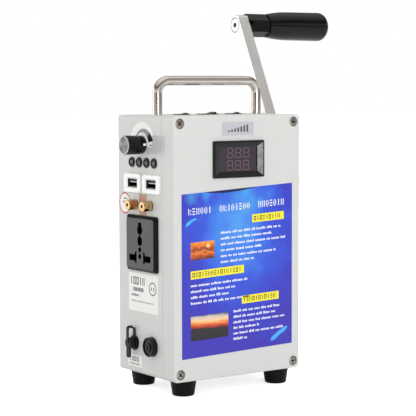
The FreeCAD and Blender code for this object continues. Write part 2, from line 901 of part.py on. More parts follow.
def meter_bezel():
    face = front - meter_flange
    flange = front_block(meter_width, meter_height, face, front, 0, meter_z)
    flange = flange.makeFillet(meter_corner_radius, edges_along(flange, Y_AXIS))
    flange = flange.makeChamfer(meter_face_bevel, edges_on_plane(flange, Y_AXIS, face))
    bezel = flange.fuse(meter_barrel(0, front - 0.5, front + meter_body_depth))
    hollow = front_block(meter_body_width - 2 * meter_body_wall, meter_body_height - 2 * meter_body_wall,
                         face + meter_slope_depth + meter_lip, front + meter_body_depth + 1, 0, meter_z)
    opening = front_block(meter_opening_width, meter_opening_height, face + meter_slope_depth / 2,
                          front + meter_body_depth, 0, meter_z)
    return bezel.cut(meter_mouth(face)).cut(hollow).cut(opening).removeSplitter()


def meter_window_front():
    return front - meter_flange + meter_slope_depth + meter_lip + seat_clearance


def meter_window():
    inner = meter_window_front()
    return front_block(meter_opening_width + 2 * meter_window_lap,
                       meter_opening_height + 2 * meter_window_lap,
                       inner, inner + meter_window_thickness, 0, meter_z)


def meter_board():
    """Circuit board with the display block that stands behind the window."""
    display_front = meter_window_front() + meter_window_thickness + axial_gap
    board_y = display_front + meter_display_depth
    display = front_block(meter_opening_width - 1, meter_opening_height - 1, display_front, board_y, 0,
                          meter_z)
    board = front_block(meter_body_width - 2 * meter_body_wall - hole_clearance,
                        meter_body_height - 2 * meter_body_wall - hole_clearance,
                        board_y, board_y + meter_board_thickness, 0, meter_z)
    return display.fuse(board).removeSplitter()


def front_label():
    """Large sticker, a little out of square, and the small plate over the meter."""
    x0 = left + label_left_inset
    x1 = x0 + label_width
    z1 = meter_z - meter_height / 2 - label_meter_gap - label_top_rise
    z0 = z1 - label_left_height
    corners = [(x0, z0), (x1, z0 + label_bottom_rise), (x1, z1 + label_top_rise), (x0, z1)]
    points = [Vector(x, front - sticker_thickness, z) for x, z in corners]
    sheet = Part.Face(Part.makePolygon(points + [points[0]])).extrude(Vector(0, sticker_thickness, 0))
    plate_z = meter_z + meter_height / 2 + plate_above_meter + plate_height / 2
    plate = front_block(plate_width, plate_height, front - sticker_thickness, front, plate_shift_x, plate_z)
    return Part.makeCompound([sheet, plate])


# ---------------------------------------------------------------- side stickers
def side_sticker(width, height, y, z):
    return block(left - sticker_thickness, left, y - width / 2, y + width / 2, z - height / 2, z + height / 2)


def dial_plate():
    disc = rod_x(dial_radius, left - sticker_thickness, left, knob_y, knob_z)
    disc = disc.cut(block(left - 1, left + 1, knob_y - dial_radius, knob_y + dial_radius,
                          knob_z - dial_radius - 1, knob_z - dial_drop))
    disc = disc.cut(rod_x(pot_bushing_radius + hole_clearance, left - 1, left + 1, knob_y, knob_z))
    return disc.cut(seal_tape())


def panel_labels():
    """Rating label, port label, strip between the terminals and round sticker beside them."""
    rating = side_sticker(rating_width, rating_height, seam + rating_from_seam, floor + rating_above_floor)
    port = side_sticker(port_label_width, port_label_height, seam + port_label_from_seam,
                        floor + port_label_above_floor)
    strip = side_sticker(strip_width, strip_height, seam + strip_from_seam,
                         terminal_z + strip_above_terminals)
    disc = rod_x(round_label_radius, left - sticker_thickness, left,
                 back - round_label_back_gap - round_label_radius,
                 terminal_z + round_label_above_terminals)
    for y in terminal_ys:
        flange = rod_x(terminal_bush_flange_radius, left - 1, left + 1, y, terminal_z)
        strip = strip.cut(flange)
        disc = disc.cut(flange)
    return Part.makeCompound([rating, port, strip, disc])


def seal_tape():
    """Tape over the seam, with a foot that runs back below the knob."""
    z0 = top - tape_center_below_top - tape_height / 2
    tape = block(left - sticker_thickness, left, seam - tape_front_reach, seam + tape_rear_reach, z0,
                 z0 + tape_height)
    foot = block(left - sticker_thickness, left, seam, seam + tape_foot_reach, z0, z0 + tape_foot_height)
    return fused([tape, foot])


# ---------------------------------------------------------------- level knob
def potentiometer():
    bush_end = left - sticker_thickness - pot_nut_height - 1
    body = rod_x(pot_body_radius, left_inner, left_inner + pot_body_depth, knob_y, knob_z)
    bushing = rod_x(pot_bushing_radius, bush_end, left_inner + 1, knob_y, knob_z)
    nut = hexagon_x(pot_nut_across_flats, left - sticker_thickness - pot_nut_height,
                    left - sticker_thickness, knob_y, knob_z)
    pot = fused([body, bushing, nut])
    return pot.cut(rod_x(pot_shaft_radius + running_clearance, bush_end - 1,
                         left_inner + pot_body_depth - 1, knob_y, knob_z))


def pot_shaft():
    return rod_x(pot_shaft_radius, left - pot_shaft_proud, left_inner + pot_body_depth - 1 - axial_gap,
                 knob_y, knob_z)


def knob_body():
    """Finely fluted knob, hollow behind where it covers the nut."""
    x0 = left - knob_gap
    x1 = left - knob_length + knob_cap_proud
    knob = Part.makeCone(knob_base_radius, knob_tip_radius, x0 - x1, Vector(x0, knob_y, knob_z), -X_AXIS)
    knob = knob.makeFillet(knob_base_rounding, edges_on_plane(knob, X_AXIS, x0))
    flutes = []
    for i in range(knob_flutes):
        a = 2 * math.pi * (i + 0.5) / knob_flutes
        y = math.cos(a)
        z = math.sin(a)
        deep = rod_x(knob_flute_radius, x1 - 1, x0 - knob_flute_start, knob_y + knob_tip_radius * y,
                     knob_z + knob_tip_radius * z)
        flutes.append(deep)
    knob = knob.cut(Part.makeCompound(flutes))
    cavity = sticker_thickness + pot_nut_height + 1 + knob_nut_room
    knob = knob.cut(rod_x(pot_nut_corner_radius + knob_nut_room, left - cavity, left + 1, knob_y, knob_z))
    knob = knob.cut(rod_x(pot_shaft_radius + seat_clearance, left - pot_shaft_proud - axial_gap, left,
                          knob_y, knob_z))
    return knob.cut(rod_x(knob_cap_seat_radius + seat_clearance, x1 - 1, x1 + knob_cap_thickness, knob_y,
                          knob_z))


def knob_cap():
    """Spun metal disc with a spigot that seats in the end of the knob."""
    outer = left - knob_length
    rim = outer + knob_cap_proud - axial_gap / 2
    cap = rod_x(knob_cap_radius, outer, rim, knob_y, knob_z)
    cap = cap.makeChamfer(knob_cap_bevel, edges_on_plane(cap, X_AXIS, outer))
    spigot = rod_x(knob_cap_seat_radius, outer + 0.1, outer + knob_cap_proud + knob_cap_thickness, knob_y,
                   knob_z)
    return cap.fuse(spigot).removeSplitter()


# ---------------------------------------------------------------- lamps
def lamp_bezels():
    bezels = []
    for y in lamp_ys:
        ring = rod_x(lamp_bezel_radius, left - lamp_bezel_height, left, y, lamp_z)
        ring = ring.makeChamfer(lamp_bevel, edges_on_plane(ring, X_AXIS, left - lamp_bezel_height))
        ring = ring.fuse(rod_x(lamp_barrel_radius, left - 1, left + lamp_barrel_depth, y, lamp_z))
        bore = rod_x(lamp_led_radius + lamp_clearance, left - 10, left + 10, y, lamp_z)
        bezels.append(ring.cut(bore).removeSplitter())
    return Part.makeCompound(bezels)


def lamp_leds():
    leds = []
    for y in lamp_ys:
        shoulder = left - lamp_led_proud + lamp_led_radius
        body = rod_x(lamp_led_radius, shoulder, left + lamp_barrel_depth + 1, y, lamp_z)
        dome = Part.makeSphere(lamp_led_radius, Vector(shoulder, y, lamp_z))
        flange = rod_x(lamp_led_radius + lamp_led_flange, left + lamp_barrel_depth,
                       left + lamp_barrel_depth + 1, y, lamp_z)
        leds.append(fused([body, dome, flange]))
    return Part.makeCompound(leds)


# ---------------------------------------------------------------- USB ports
def side_block(width, height, x0, x1, y, z):
    return block(x0, x1, y - width / 2, y + width / 2, z - height / 2, z + height / 2)


def usb_shell_size(grow):
    return (usb_mouth_width + 2 * usb_shell_wall + 2 * grow, usb_mouth_height + 2 * usb_shell_wall + 2 * grow)


def usb_barrel(y, grow, x0, x1):
    width, height = usb_shell_size(usb_collar + grow)
    return side_block(width, height, x0, x1, y, usb_z)


def usb_bezel(y):
    face = left - usb_frame_thickness
    frame = side_block(usb_frame_width, usb_frame_height, face, left, y, usb_z)
    frame = frame.makeFillet(usb_frame_radius, edges_along(frame, X_AXIS))
    frame = frame.makeChamfer(usb_frame_bevel, edges_on_plane(frame, X_AXIS, face))
    frame = frame.fuse(usb_barrel(y, 0, left - 1, left_inner + 2))
    width, height = usb_shell_size(seat_clearance)
    frame = frame.cut(side_block(width, height, face - 1, left_inner + 3, y, usb_z)).removeSplitter()
    lip = [e for e in edges_on_plane(frame, X_AXIS, face) if e.BoundBox.ZMin > usb_z - height / 2 - 0.1
           and e.BoundBox.ZMax < usb_z + height / 2 + 0.1]
    return frame.makeChamfer(usb_funnel, lip)


def usb_port(y):
    """Metal shell, with its plastic tongue standing on the back block."""
    face = left - usb_frame_thickness + usb_funnel + usb_shell_inset
    end = face + usb_shell_depth
    width, height = usb_shell_size(0)
    shell = side_block(width, height, face, end, y, usb_z)
    shell = shell.cut(side_block(usb_mouth_width, usb_mouth_height, face - 1, end + 1, y, usb_z))
    tongue = side_block(usb_tongue_width, usb_tongue_thickness, end - 2 - usb_tongue_length, end - 1, y,
                        usb_z + usb_tongue_rise)
    plug = side_block(usb_mouth_width, usb_mouth_height, end - 2, end, y, usb_z)
    return Part.makeCompound([shell, tongue.fuse(plug).removeSplitter()])


# ---------------------------------------------------------------- brass terminals
def post_stud(y):
    """Stud with a bore in its end, and the nut that holds it from behind."""
    end = left - terminal_length + terminal_front_wall + running_clearance
    inside = left_inner + terminal_bush_flange
    stud = rod_x(terminal_stud_radius, end, inside + terminal_nut_height + terminal_stud_end, y, terminal_z)
    nut = hexagon_x(terminal_nut_across_flats, inside, inside + terminal_nut_height, y, terminal_z)
    stud = stud.fuse(nut).removeSplitter()
    return stud.cut(rod_x(terminal_bore_radius, end - 1, end + terminal_bore_depth, y, terminal_z))


def post_nut(y, knurled):
    """Turned brass cap that screws onto a stud."""
    outer = left - terminal_length
    inner = left - terminal_bush_flange - running_clearance
    cap = rod_x(terminal_radius, outer, inner, y, terminal_z)
    cap = cap.makeChamfer(terminal_bevel, edges_on_plane(cap, X_AXIS, outer))
    cap = cap.cut(rod_x(terminal_stud_radius + running_clearance, outer + terminal_front_wall, inner + 1, y,
                        terminal_z))
    cap = cap.cut(rod_x(terminal_bore_radius + hole_clearance, outer - 1, inner, y, terminal_z))
    if knurled:
        cuts = []
        for i in range(terminal_knurls):
            a = 2 * math.pi * i / terminal_knurls
            cuts.append(rod_x(2 * terminal_knurl_depth, outer + terminal_knurl_margin,
                              inner - terminal_knurl_margin,
                              y + (terminal_radius + terminal_knurl_depth) * math.cos(a),
                              terminal_z + (terminal_radius + terminal_knurl_depth) * math.sin(a)))
        return cap.cut(Part.makeCompound(cuts))
    middle = (outer + inner) / 2
    return cap.cut(Part.makeCylinder(terminal_side_bore_radius, terminal_radius,
                                     Vector(middle, y - terminal_radius, terminal_z), Y_AXIS,
                                     360).cut(rod_x(terminal_stud_radius + 0.3, outer, inner, y, terminal_z)))


def post_insulators():
    bushes = []
    for y in terminal_ys:
        bush = rod_x(terminal_bush_radius, left - terminal_bush_flange, left_inner, y, terminal_z)
        flange = rod_x(terminal_bush_flange_radius, left - terminal_bush_flange, left, y, terminal_z)
        washer = rod_x(terminal_bush_flange_radius, left_inner, left_inner + terminal_bush_flange, y,
                       terminal_z)
        bore = rod_x(terminal_stud_radius + seat_clearance, left - 5, left + 10, y, terminal_z)
        bushes.append(fused([bush, flange]).cut(bore))
        bushes.append(washer.cut(bore))
    return Part.makeCompound(bushes)


# ---------------------------------------------------------------- universal mains socket
def socket_barrel(grow, x0, x1):
    return side_block(socket_body_width + 2 * grow, socket_body_height + 2 * grow, x0, x1, socket_y, socket_z)


def socket_openings(x0, x1):
    """Pin openings in the face: earth on top, lens, two rounds, two blades and two wings."""
    y = socket_y
    z = socket_z
    earth_z = z + socket_earth_rise
    cuts = [rod_x(socket_earth_radius, x0, x1, y, earth_z),
            block(x0, x1, y - socket_earth_slot_width / 2, y + socket_earth_slot_width / 2, earth_z,
                  z + socket_earth_slot_top),
            block(x0, x1, y - socket_link_width / 2, y + socket_link_width / 2, z + socket_lens_top - 1,
                  z + socket_earth_point + 1),
            rod_x(socket_lens_radius, x0, x1, y, z + socket_lens_top - socket_lens_radius),
            rod_x(socket_lens_radius, x0, x1, y, z + socket_lens_bottom + socket_lens_radius)]
    for drop in socket_round_drops:
        cuts.append(rod_x(socket_round_radius, x0, x1, y, z - drop))
    for side in (-1, 1):
        cuts.append(side_block(socket_blade_width, socket_blade_height, x0, x1,
                               y + side * socket_blade_spread, z - socket_blade_drop))
        wing = (socket_wing_inner + socket_wing_outer) / 2
        cuts.append(side_block(socket_wing_outer - socket_wing_inner, socket_wing_height, x0, x1,
                               y + side * wing, z - socket_wing_drop))
    return fused(cuts)


def socket_pocket_spots():
    return [(socket_y + side * (socket_blade_spread + socket_pocket_width / 2 - socket_blade_width / 2),
             socket_z - socket_blade_drop) for side in (-1, 1)]


def rounded_outline(width, height, x):
    """Closed outline of the socket's face plate at one depth."""
    sheet = side_block(width, height, x, x + 1, socket_y, socket_z)
    sheet = sheet.makeFillet(socket_corner_radius, edges_along(sheet, X_AXIS))
    face = [f for f in sheet.Faces if f.BoundBox.XMax - x < EPS][0]
    return face.OuterWire


def socket_face():
    outer = left - socket_thickness
    rim = side_block(socket_width, socket_height, left - socket_rim, left, socket_y, socket_z)
    rim = rim.makeFillet(socket_corner_radius, edges_along(rim, X_AXIS))
    shrink = 2 * socket_bevel
    foot = rounded_outline(socket_width, socket_height, left - socket_rim)
    face = rounded_outline(socket_width - shrink, socket_height - shrink, outer)
    raised = Part.makeLoft([foot, face], True, True)
    body = socket_barrel(0, left - 1, left_inner + socket_body_depth)
    socket = fused([rim, raised, body])
    socket = socket.cut(socket_openings(outer - 1, outer + socket_hole_depth))
    for y, z in socket_pocket_spots():
        socket = socket.cut(side_block(socket_pocket_width, socket_pocket_height, left_inner,
                                       left_inner + socket_body_depth - 2, y, z))
    return socket


def socket_contacts():
    """Pair of brass leaves in each blade pocket, and one behind the earth opening."""
    leaves = []
    inset = socket_pocket_width / 2 - socket_contact_thickness / 2
    for y, z in socket_pocket_spots():
        for side in (-1, 1):
            leaves.append(side_block(socket_contact_thickness, socket_pocket_height - 1, left_inner + 1,
                                     left_inner + socket_body_depth - 2, y + side * inset, z))
    return Part.makeCompound(leaves)


# ---------------------------------------------------------------- charging jack
def charge_jack():
    flange = rod_x(jack_flange_radius, left - jack_flange_height, left, jack_y, jack_z)
    flange = flange.makeChamfer(jack_bevel, edges_on_plane(flange, X_AXIS, left - jack_flange_height))
    jack = flange.fuse(rod_x(jack_barrel_radius, left - 1, left_inner + jack_barrel_depth, jack_y, jack_z))
    jack = jack.cut(rod_x(jack_bore_radius, left - 10, left_inner + jack_barrel_depth - jack_wall, jack_y,
                          jack_z))
    pin = rod_x(jack_pin_radius, left - jack_flange_height + jack_pin_set_back,
                left_inner + jack_barrel_depth - jack_wall / 2, jack_y, jack_z)
    return jack.fuse(pin).removeSplitter()


def cap_planes():
    """Back and face of the rubber cap."""
    cap_back = left - jack_flange_height - cap_gap
    return cap_back, cap_back - cap_disc_height


def strap_legs():
    """Outer faces of the leg on the cap and of the leg on the wall side, and the plane between them."""
    cap_leg = cap_planes()[1] - strap_proud
    wall_leg = left - strap_wall_gap - strap_stand_off
    return cap_leg, wall_leg, (cap_leg + wall_leg) / 2


def bent_strap(x_leg, x_tip, z_root, z_top):
    """Strip that rises along one plane and turns over at the top in a round bend."""
    x_inside = x_leg + math.copysign(strap_thickness, x_tip - x_leg)
    y0 = jack_y - strap_width / 2
    y1 = jack_y + strap_width / 2
    leg = block(min(x_leg, x_inside), max(x_leg, x_inside), y0, y1, z_root, z_top)
    arm = block(min(x_leg, x_tip), max(x_leg, x_tip), y0, y1, z_top - strap_thickness, z_top)
    strip = leg.fuse(arm).removeSplitter()
    bends = ((x_leg, z_top, strap_bend), (x_inside, z_top - strap_thickness, strap_bend - strap_thickness))
    for x, z, radius in bends:
        corner = [e for e in edges_along(strip, Y_AXIS)
                  if abs(e.BoundBox.XMin - x) < EPS and abs(e.BoundBox.ZMin - z) < EPS]
        strip = strip.makeFillet(radius, corner)
    return strip


def charge_cap():
    """Rubber cap with its plug, its pull tab and the strap that rises from it."""
    cap_back, cap_face = cap_planes()
    disc = rod_x(cap_disc_radius, cap_face, cap_back, jack_y, jack_z)
    disc = disc.makeFillet(cap_edge_radius, edges_on_plane(disc, X_AXIS, cap_face))
    plug = rod_x(cap_plug_radius, cap_back - 1, cap_back + cap_plug_length, jack_y, jack_z)
    tab = block(cap_face, cap_face + cap_tab_thickness, jack_y - cap_tab_width / 2,
                jack_y + cap_tab_width / 2, jack_z - cap_tab_length, jack_z)
    tab = tab.makeFillet(cap_tab_rounding,
                         [e for e in edges_along(tab, X_AXIS) if e.BoundBox.ZMax < jack_z - 1])
    cap_leg, wall_leg, middle = strap_legs()
    strap = bent_strap(cap_leg, middle + strap_upper_lap, jack_z, jack_z + strap_rise)
    cap = fused([disc, plug, tab, strap])
    return cap.cut(rod_x(cap_plug_bore, cap_back, cap_back + cap_plug_length + 1, jack_y, jack_z))


def charge_cap_strap():
    """Half of the strap that stays on the jack: a ring round its flange and a tongue above it."""
    wall_side = left - strap_wall_gap
    ring = tube_x(jack_flange_radius + strap_thickness, jack_flange_radius + seat_clearance,
                  left - jack_flange_height + strap_root, wall_side, jack_y, jack_z)
    cap_leg, wall_leg, middle = strap_legs()
    strap = bent_strap(wall_leg, middle - strap_lower_lap, jack_z + jack_flange_radius + strap_root,
                       jack_z + strap_rise - strap_thickness - strap_overlap_gap)
    return fused([ring, strap])


# ---------------------------------------------------------------- fuse
def fuse_cap_planes():
    inner = left - fuse_flange_height - fuse_cap_gap
    return inner, inner - fuse_cap_height


def fuse_holder():
    flange = rod_x(fuse_flange_radius, left - fuse_flange_height, left, fuse_y, fuse_z)
    flange = flange.makeChamfer(fuse_bevel, edges_on_plane(flange, X_AXIS, left - fuse_flange_height))
    body = rod_x(fuse_barrel_radius, left - 1, left_inner + fuse_barrel_depth, fuse_y, fuse_z)
    holder = flange.fuse(body).removeSplitter()
    return holder.cut(rod_x(fuse_bore_radius, left - 10, left_inner + fuse_barrel_depth - 1, fuse_y, fuse_z))


def fuse_cap():
    """Bayonet cap with a slotted boss in its face, whose hollow stem grips the fuse."""
    inner, outer = fuse_cap_planes()
    cap = rod_x(fuse_cap_radius, outer, inner, fuse_y, fuse_z)
    cap = cap.makeChamfer(fuse_bevel, edges_on_plane(cap, X_AXIS, outer))
    cap = cap.cut(tube_x(fuse_cap_radius - fuse_cap_rim, fuse_cap_boss_radius, outer - 1,
                         outer + fuse_cap_recess, fuse_y, fuse_z))
    cap = cap.cut(side_block(fuse_slot_width, fuse_slot_length, outer - 1, outer + fuse_slot_depth, fuse_y,
                             fuse_z))
    for i in range(fuse_cap_ribs):
        a = math.pi / 2 + 2 * math.pi * i / fuse_cap_ribs
        cap = cap.cut(rod_x(2 * fuse_rib_depth, outer - 1, inner - 1,
                            fuse_y + (fuse_cap_radius + fuse_rib_depth) * math.cos(a),
                            fuse_z + (fuse_cap_radius + fuse_rib_depth) * math.sin(a)))
    stem = rod_x(fuse_bore_radius - fuse_stem_clearance, inner - 1, inner + fuse_cap_stem_length, fuse_y,
                 fuse_z)
    cap = cap.fuse(stem).removeSplitter()
    return cap.cut(rod_x(fuse_glass_radius + hole_clearance, inner + fuse_cap_stem_length - fuse_grip,
                         inner + fuse_cap_stem_length + 1, fuse_y, fuse_z))


def fuse_link():
    inner, outer = fuse_cap_planes()
    start = inner + fuse_cap_stem_length - fuse_grip + seat_clearance
    end = start + fuse_glass_length
    glass = rod_x(fuse_glass_radius - fuse_tube_inset, start, end, fuse_y, fuse_z)
    ends = [rod_x(fuse_glass_radius, start, start + fuse_end_cap_length, fuse_y, fuse_z),
            rod_x(fuse_glass_radius, end - fuse_end_cap_length, end, fuse_y, fuse_z)]
    return fused([glass] + ends)


# ---------------------------------------------------------------- crank
def double_flat(radius, flats, x0, x1, y, z):
    """Round bar with two flats, turned to lie along the crank arm."""
    bar = rod_x(radius, x0, x1, y, z)
    keep = block(x0 - 1, x1 + 1, y - flats / 2, y + flats / 2, z - 2 * radius, z + 2 * radius)
    keep.rotate(Vector(0, y, z), X_AXIS, -crank_lean)
    return bar.common(keep)


def crank_shaft():
    start = plate_inner - wall_bush_flange - shaft_end
    shoulder = right + wall_bush_flange + axial_gap
    nut_end = arm_outer + crank_nut_height
    shaft = fused([rod_x(shaft_radius, start, arm_inner, crank_y, crank_z),
                   rod_x(shaft_collar_radius, shoulder, arm_inner, crank_y, crank_z),
                   double_flat(shaft_radius, shaft_flats, arm_inner - 1, arm_outer, crank_y, crank_z),
                   rod_x(shaft_flats / 2, arm_outer - 1, nut_end + shaft_end / 2, crank_y, crank_z)])
    return shaft


def crank_arm():
    """Flat bar, round at the hub, with square edges and a recess for the pivot screw."""
    half = arm_breadth / 2
    tip = crank_radius + arm_tip_overhang
    bar = block(arm_inner, arm_outer, crank_y - half, crank_y + half, crank_z, crank_z + tip)
    bar = bar.makeFillet(arm_tip_radius,
                         [e for e in edges_along(bar, X_AXIS) if e.BoundBox.ZMin > crank_z + 1])
    bar = bar.fuse(rod_x(half, arm_inner, arm_outer, crank_y, crank_z)).removeSplitter()
    for x in (arm_inner, arm_outer):
        bar = bar.makeChamfer(arm_edge_radius, edges_on_plane(bar, X_AXIS, x))
    bar = bar.cut(rod_x(pivot_head_radius + pivot_recess_clearance, arm_inner - 1,
                        arm_inner + pivot_head_height, crank_y, crank_z + crank_radius))
    bar = bar.cut(rod_x(pivot_shank_radius + seat_clearance, arm_inner, arm_outer + 1, crank_y,
                        crank_z + crank_radius))
    bar.rotate(Vector(0, crank_y, crank_z), X_AXIS, -crank_lean)
    return bar.cut(double_flat(shaft_radius + seat_clearance, shaft_flats + 2 * seat_clearance,
                               arm_inner - 1, arm_outer + 1, crank_y, crank_z))


def crank_nut():
    nut = hexagon_x(crank_nut_across_flats, arm_outer, arm_outer + crank_nut_height, crank_y, crank_z,
                    math.radians(30))
    dome = Part.makeCone(crank_nut_across_flats / 2 + 6, crank_nut_across_flats / 2 - 0.6,
                         crank_nut_height, Vector(arm_outer, crank_y, crank_z), X_AXIS)
    nut = nut.common(dome)
    return nut.cut(rod_x(shaft_flats / 2 + thread_clearance, arm_outer - 1, arm_outer + 10, crank_y, crank_z))


def grip_screw():
    """Socket screw whose shank enters the collar from the inner face of the arm."""
    head = rod_x(pivot_head_radius, arm_inner, arm_inner + pivot_head_height - seat_clearance, grip_y, grip_z)
    head = head.makeChamfer(pivot_head_bevel, edges_on_plane(head, X_AXIS, arm_inner))
    screw = head.fuse(rod_x(pivot_shank_radius, arm_inner + 1, arm_outer + pivot_shank_reach, grip_y, grip_z))
    screw = screw.cut(hexagon_x(pivot_hex, arm_inner - 1, arm_inner + pivot_hex_depth, grip_y, grip_z))
    return screw.removeSplitter()


def grip_collar():
    """Hexagonal collar with the spindle that the grip turns on; a slot by the arm shows the pivot screw."""
    turn = math.radians(60 - crank_lean)
    collar = hexagon_x(collar_across_flats, arm_outer, collar_end, grip_y, grip_z, turn)
    corner = collar_across_flats / math.sqrt(3)
    dome = Part.makeCone(corner + collar_length - collar_chamfer, corner - collar_chamfer, collar_length,
                         Vector(arm_outer, grip_y, grip_z), X_AXIS)
    collar = collar.common(dome)
    ring_x = collar_end + spindle_length - spindle_ring_setback
    collar = fused([collar,
                    rod_x(spindle_radius, collar_end - 1, collar_end + spindle_length, grip_y, grip_z),
                    rod_x(spindle_ring_radius, ring_x - spindle_ring_width, ring_x, grip_y, grip_z)])
    collar = collar.cut(block(arm_outer - 1, arm_outer + collar_slot_length, grip_y - collar_across_flats,
                              grip_y - collar_slot_floor, grip_z + collar_slot_low,
                              grip_z + collar_slot_high))
    return collar.cut(rod_x(pivot_shank_radius + thread_clearance, arm_outer - 1,
                            arm_outer + pivot_shank_reach + 1, grip_y, grip_z))


def grip_sleeve():
    """Grip that swells from its root to a nearly straight barrel with a rounded end."""
    x0 = collar_end + grip_gap
    x1 = x0 + grip_length
    root = (x0 + grip_root_bevel, grip_root_radius)
    swell = (x0 + grip_swell[0], grip_swell[1])
    shoulder = (x0 + grip_shoulder[0], grip_shoulder[1])
    barrel_end = (x1 - grip_end_radius, grip_body_radius)
    quarter = grip_end_radius * (1 - math.cos(math.radians(45)))
    hollow_end = collar_end + spindle_length + grip_end_room
    ring_x = collar_end + spindle_length - spindle_ring_setback
    bore = spindle_radius + running_clearance
    groove = spindle_ring_radius + 2 * running_clearance
    groove_start = ring_x - spindle_ring_width - spindle_ring_room
    groove_end = ring_x + spindle_ring_room
    return turned_x([
        line((x0, bore), (x0, grip_root_radius - grip_root_bevel)),
        line((x0, grip_root_radius - grip_root_bevel), root),
        arc(root, swell, shoulder),
        line(shoulder, barrel_end),
        arc(barrel_end, (x1 - quarter, grip_body_radius - quarter), (x1, grip_body_radius - grip_end_radius)),
        line((x1, grip_body_radius - grip_end_radius), (x1, 0)),
        line((x1, 0), (hollow_end, 0)),
        line((hollow_end, 0), (hollow_end, bore)),
        line((hollow_end, bore), (groove_end, bore)),
        line((groove_end, bore), (groove_end, groove)),
        line((groove_end, groove), (groove_start, groove)),
        line((groove_start, groove), (groove_start, bore)),
        line((groove_start, bore), (x0, bore)),
    ], grip_y, grip_z)


# ---------------------------------------------------------------- gear train
def gear(teeth, x0, x1, y, z, turn):
    """Spur gear with involute flanks; one tooth is centred at the given turn."""
    pitch = gear_module * teeth / 2
    outer = pitch + 0.95 * gear_module
    root = pitch - 1.25 * gear_module
    alpha = math.radians(pressure_angle)
    base = pitch * math.cos(alpha)
    half = (math.pi * gear_module / 2 - tooth_backlash / 2) / (2 * pitch)
    start = max(base, root)
    flank = []
    for i in range(5):
        r = start + (outer - start) * i / 4
        a = math.acos(min(1.0, base / r))
        flank.append((r, half + math.tan(alpha) - alpha - math.tan(a) + a))
    if root < base:
        flank.insert(0, (root, flank[0][1]))
    points = []
    for i in range(teeth):
        centre = turn + 2 * math.pi * i / teeth
        for r, a in flank:
            points.append(Vector(x0, y + r * math.cos(centre - a), z + r * math.sin(centre - a)))
        for r, a in reversed(flank):
            points.append(Vector(x0, y + r * math.cos(centre + a), z + r * math.sin(centre + a)))
    points.append(points[0])
    return Part.Face(Part.makePolygon(points)).extrude(Vector(x1 - x0, 0, 0))


def webbed(wheel, teeth, hub, x0, x1, y, z):
    """Thin the web of a gear on both sides, between its hub and its rim."""
    rim = gear_module * teeth / 2 - gear_rim
    depth = (x1 - x0 - gear_web) / 2
    for a, b in ((x0 - 1, x0 + depth), (x1 - depth, x1 + 1)):
        wheel = wheel.cut(tube_x(rim, hub, a, b, y, z))
    return wheel


def drive_gear():
    wheel = gear(drive_teeth, drive_gear_inner, drive_gear_outer, crank_y, crank_z, -math.pi / 2)
    wheel = webbed(wheel, drive_teeth, drive_hub_radius, drive_gear_inner, drive_gear_outer, crank_y, crank_z)
    wheel = wheel.fuse(rod_x(drive_hub_radius, drive_gear_inner - drive_hub_length, drive_gear_outer, crank_y,
                             crank_z)).removeSplitter()
    return wheel.cut(rod_x(shaft_radius + seat_clearance, plate_outer, right_inner, crank_y, crank_z))


def idler_gear():
    boss_end = right_inner - idler_pin_boss_length - axial_gap
    pinion_end = drive_gear_outer + idler_pinion_overhang
    wheel = gear(idler_teeth, idler_gear_inner, idler_gear_outer, crank_y, idler_z, -math.pi / 2)
    wheel = webbed(wheel, idler_teeth, 1.6 * idler_hub_radius, idler_gear_inner, idler_gear_outer, crank_y,
                   idler_z)
    pinion = gear(idler_pinion_teeth, idler_gear_inner + 1, pinion_end, crank_y, idler_z,
                  math.pi / 2 + math.pi / idler_pinion_teeth)
    hub = rod_x(idler_hub_radius, plate_outer + axial_gap, boss_end, crank_y, idler_z)
    both = fused([wheel, pinion, hub])
    return both.cut(rod_x(idler_pin_radius + running_clearance, plate_outer, right_inner, crank_y, idler_z))


def idler_axle():
    return rod_x(idler_pin_radius, plate_inner, right_inner - seat_clearance, crank_y, idler_z)


def generator_pinion():
    end = idler_gear_outer + generator_pinion_overhang
    pinion = gear(generator_teeth, idler_gear_inner - generator_pinion_overhang, end, crank_y, generator_z,
                  math.pi / 2 + math.pi / generator_teeth)
    shaft = rod_x(generator_shaft_radius, plate_inner - generator_shaft_reach, end, crank_y, generator_z)
    return pinion.fuse(shaft).removeSplitter()


def generator_motor():
    x0 = plate_inner - generator_body_length
    body = rod_x(generator_body_radius, x0, plate_inner, crank_y, generator_z)
    body = body.makeFillet(generator_shell, edges_on_plane(body, X_AXIS, x0))
    boss = rod_x(generator_boss_radius, plate_inner - 1, plate_inner + generator_boss_height, crank_y,
                 generator_z)
    tail = rod_x(generator_tail_radius, x0 - generator_tail_length, x0 + 1, crank_y, generator_z)
    motor = fused([body, boss, tail])
    return motor.cut(rod_x(generator_shaft_radius + running_clearance,
                           plate_inner - generator_shaft_reach - axial_gap,
                           plate_inner + generator_boss_height + 1, crank_y, generator_z))


def gear_plate():
    plate = block(plate_inner, plate_outer, crank_y - gear_plate_half_width, crank_y + gear_plate_half_width,
                  generator_z - gear_plate_below, crank_z + gear_plate_above)
    plate = plate.makeFillet(gear_plate_corner_radius, edges_along(plate, X_AXIS))
    holes = [rod_x(plate_bush_radius + seat_clearance, plate_inner - 1, plate_outer + 1, crank_y, crank_z),
             rod_x(idler_pin_radius + seat_clearance, plate_inner - 1, plate_outer + 1, crank_y, idler_z),
             rod_x(generator_boss_radius + seat_clearance, plate_inner - 1, plate_outer + 1, crank_y,
                   generator_z)]
    for y, z in plate_boss_spots:
        holes.append(rod_x(gear_plate_peg_radius + seat_clearance, plate_inner - 1, plate_outer + 1, y, z))
    return plate.cut(Part.makeCompound(holes))


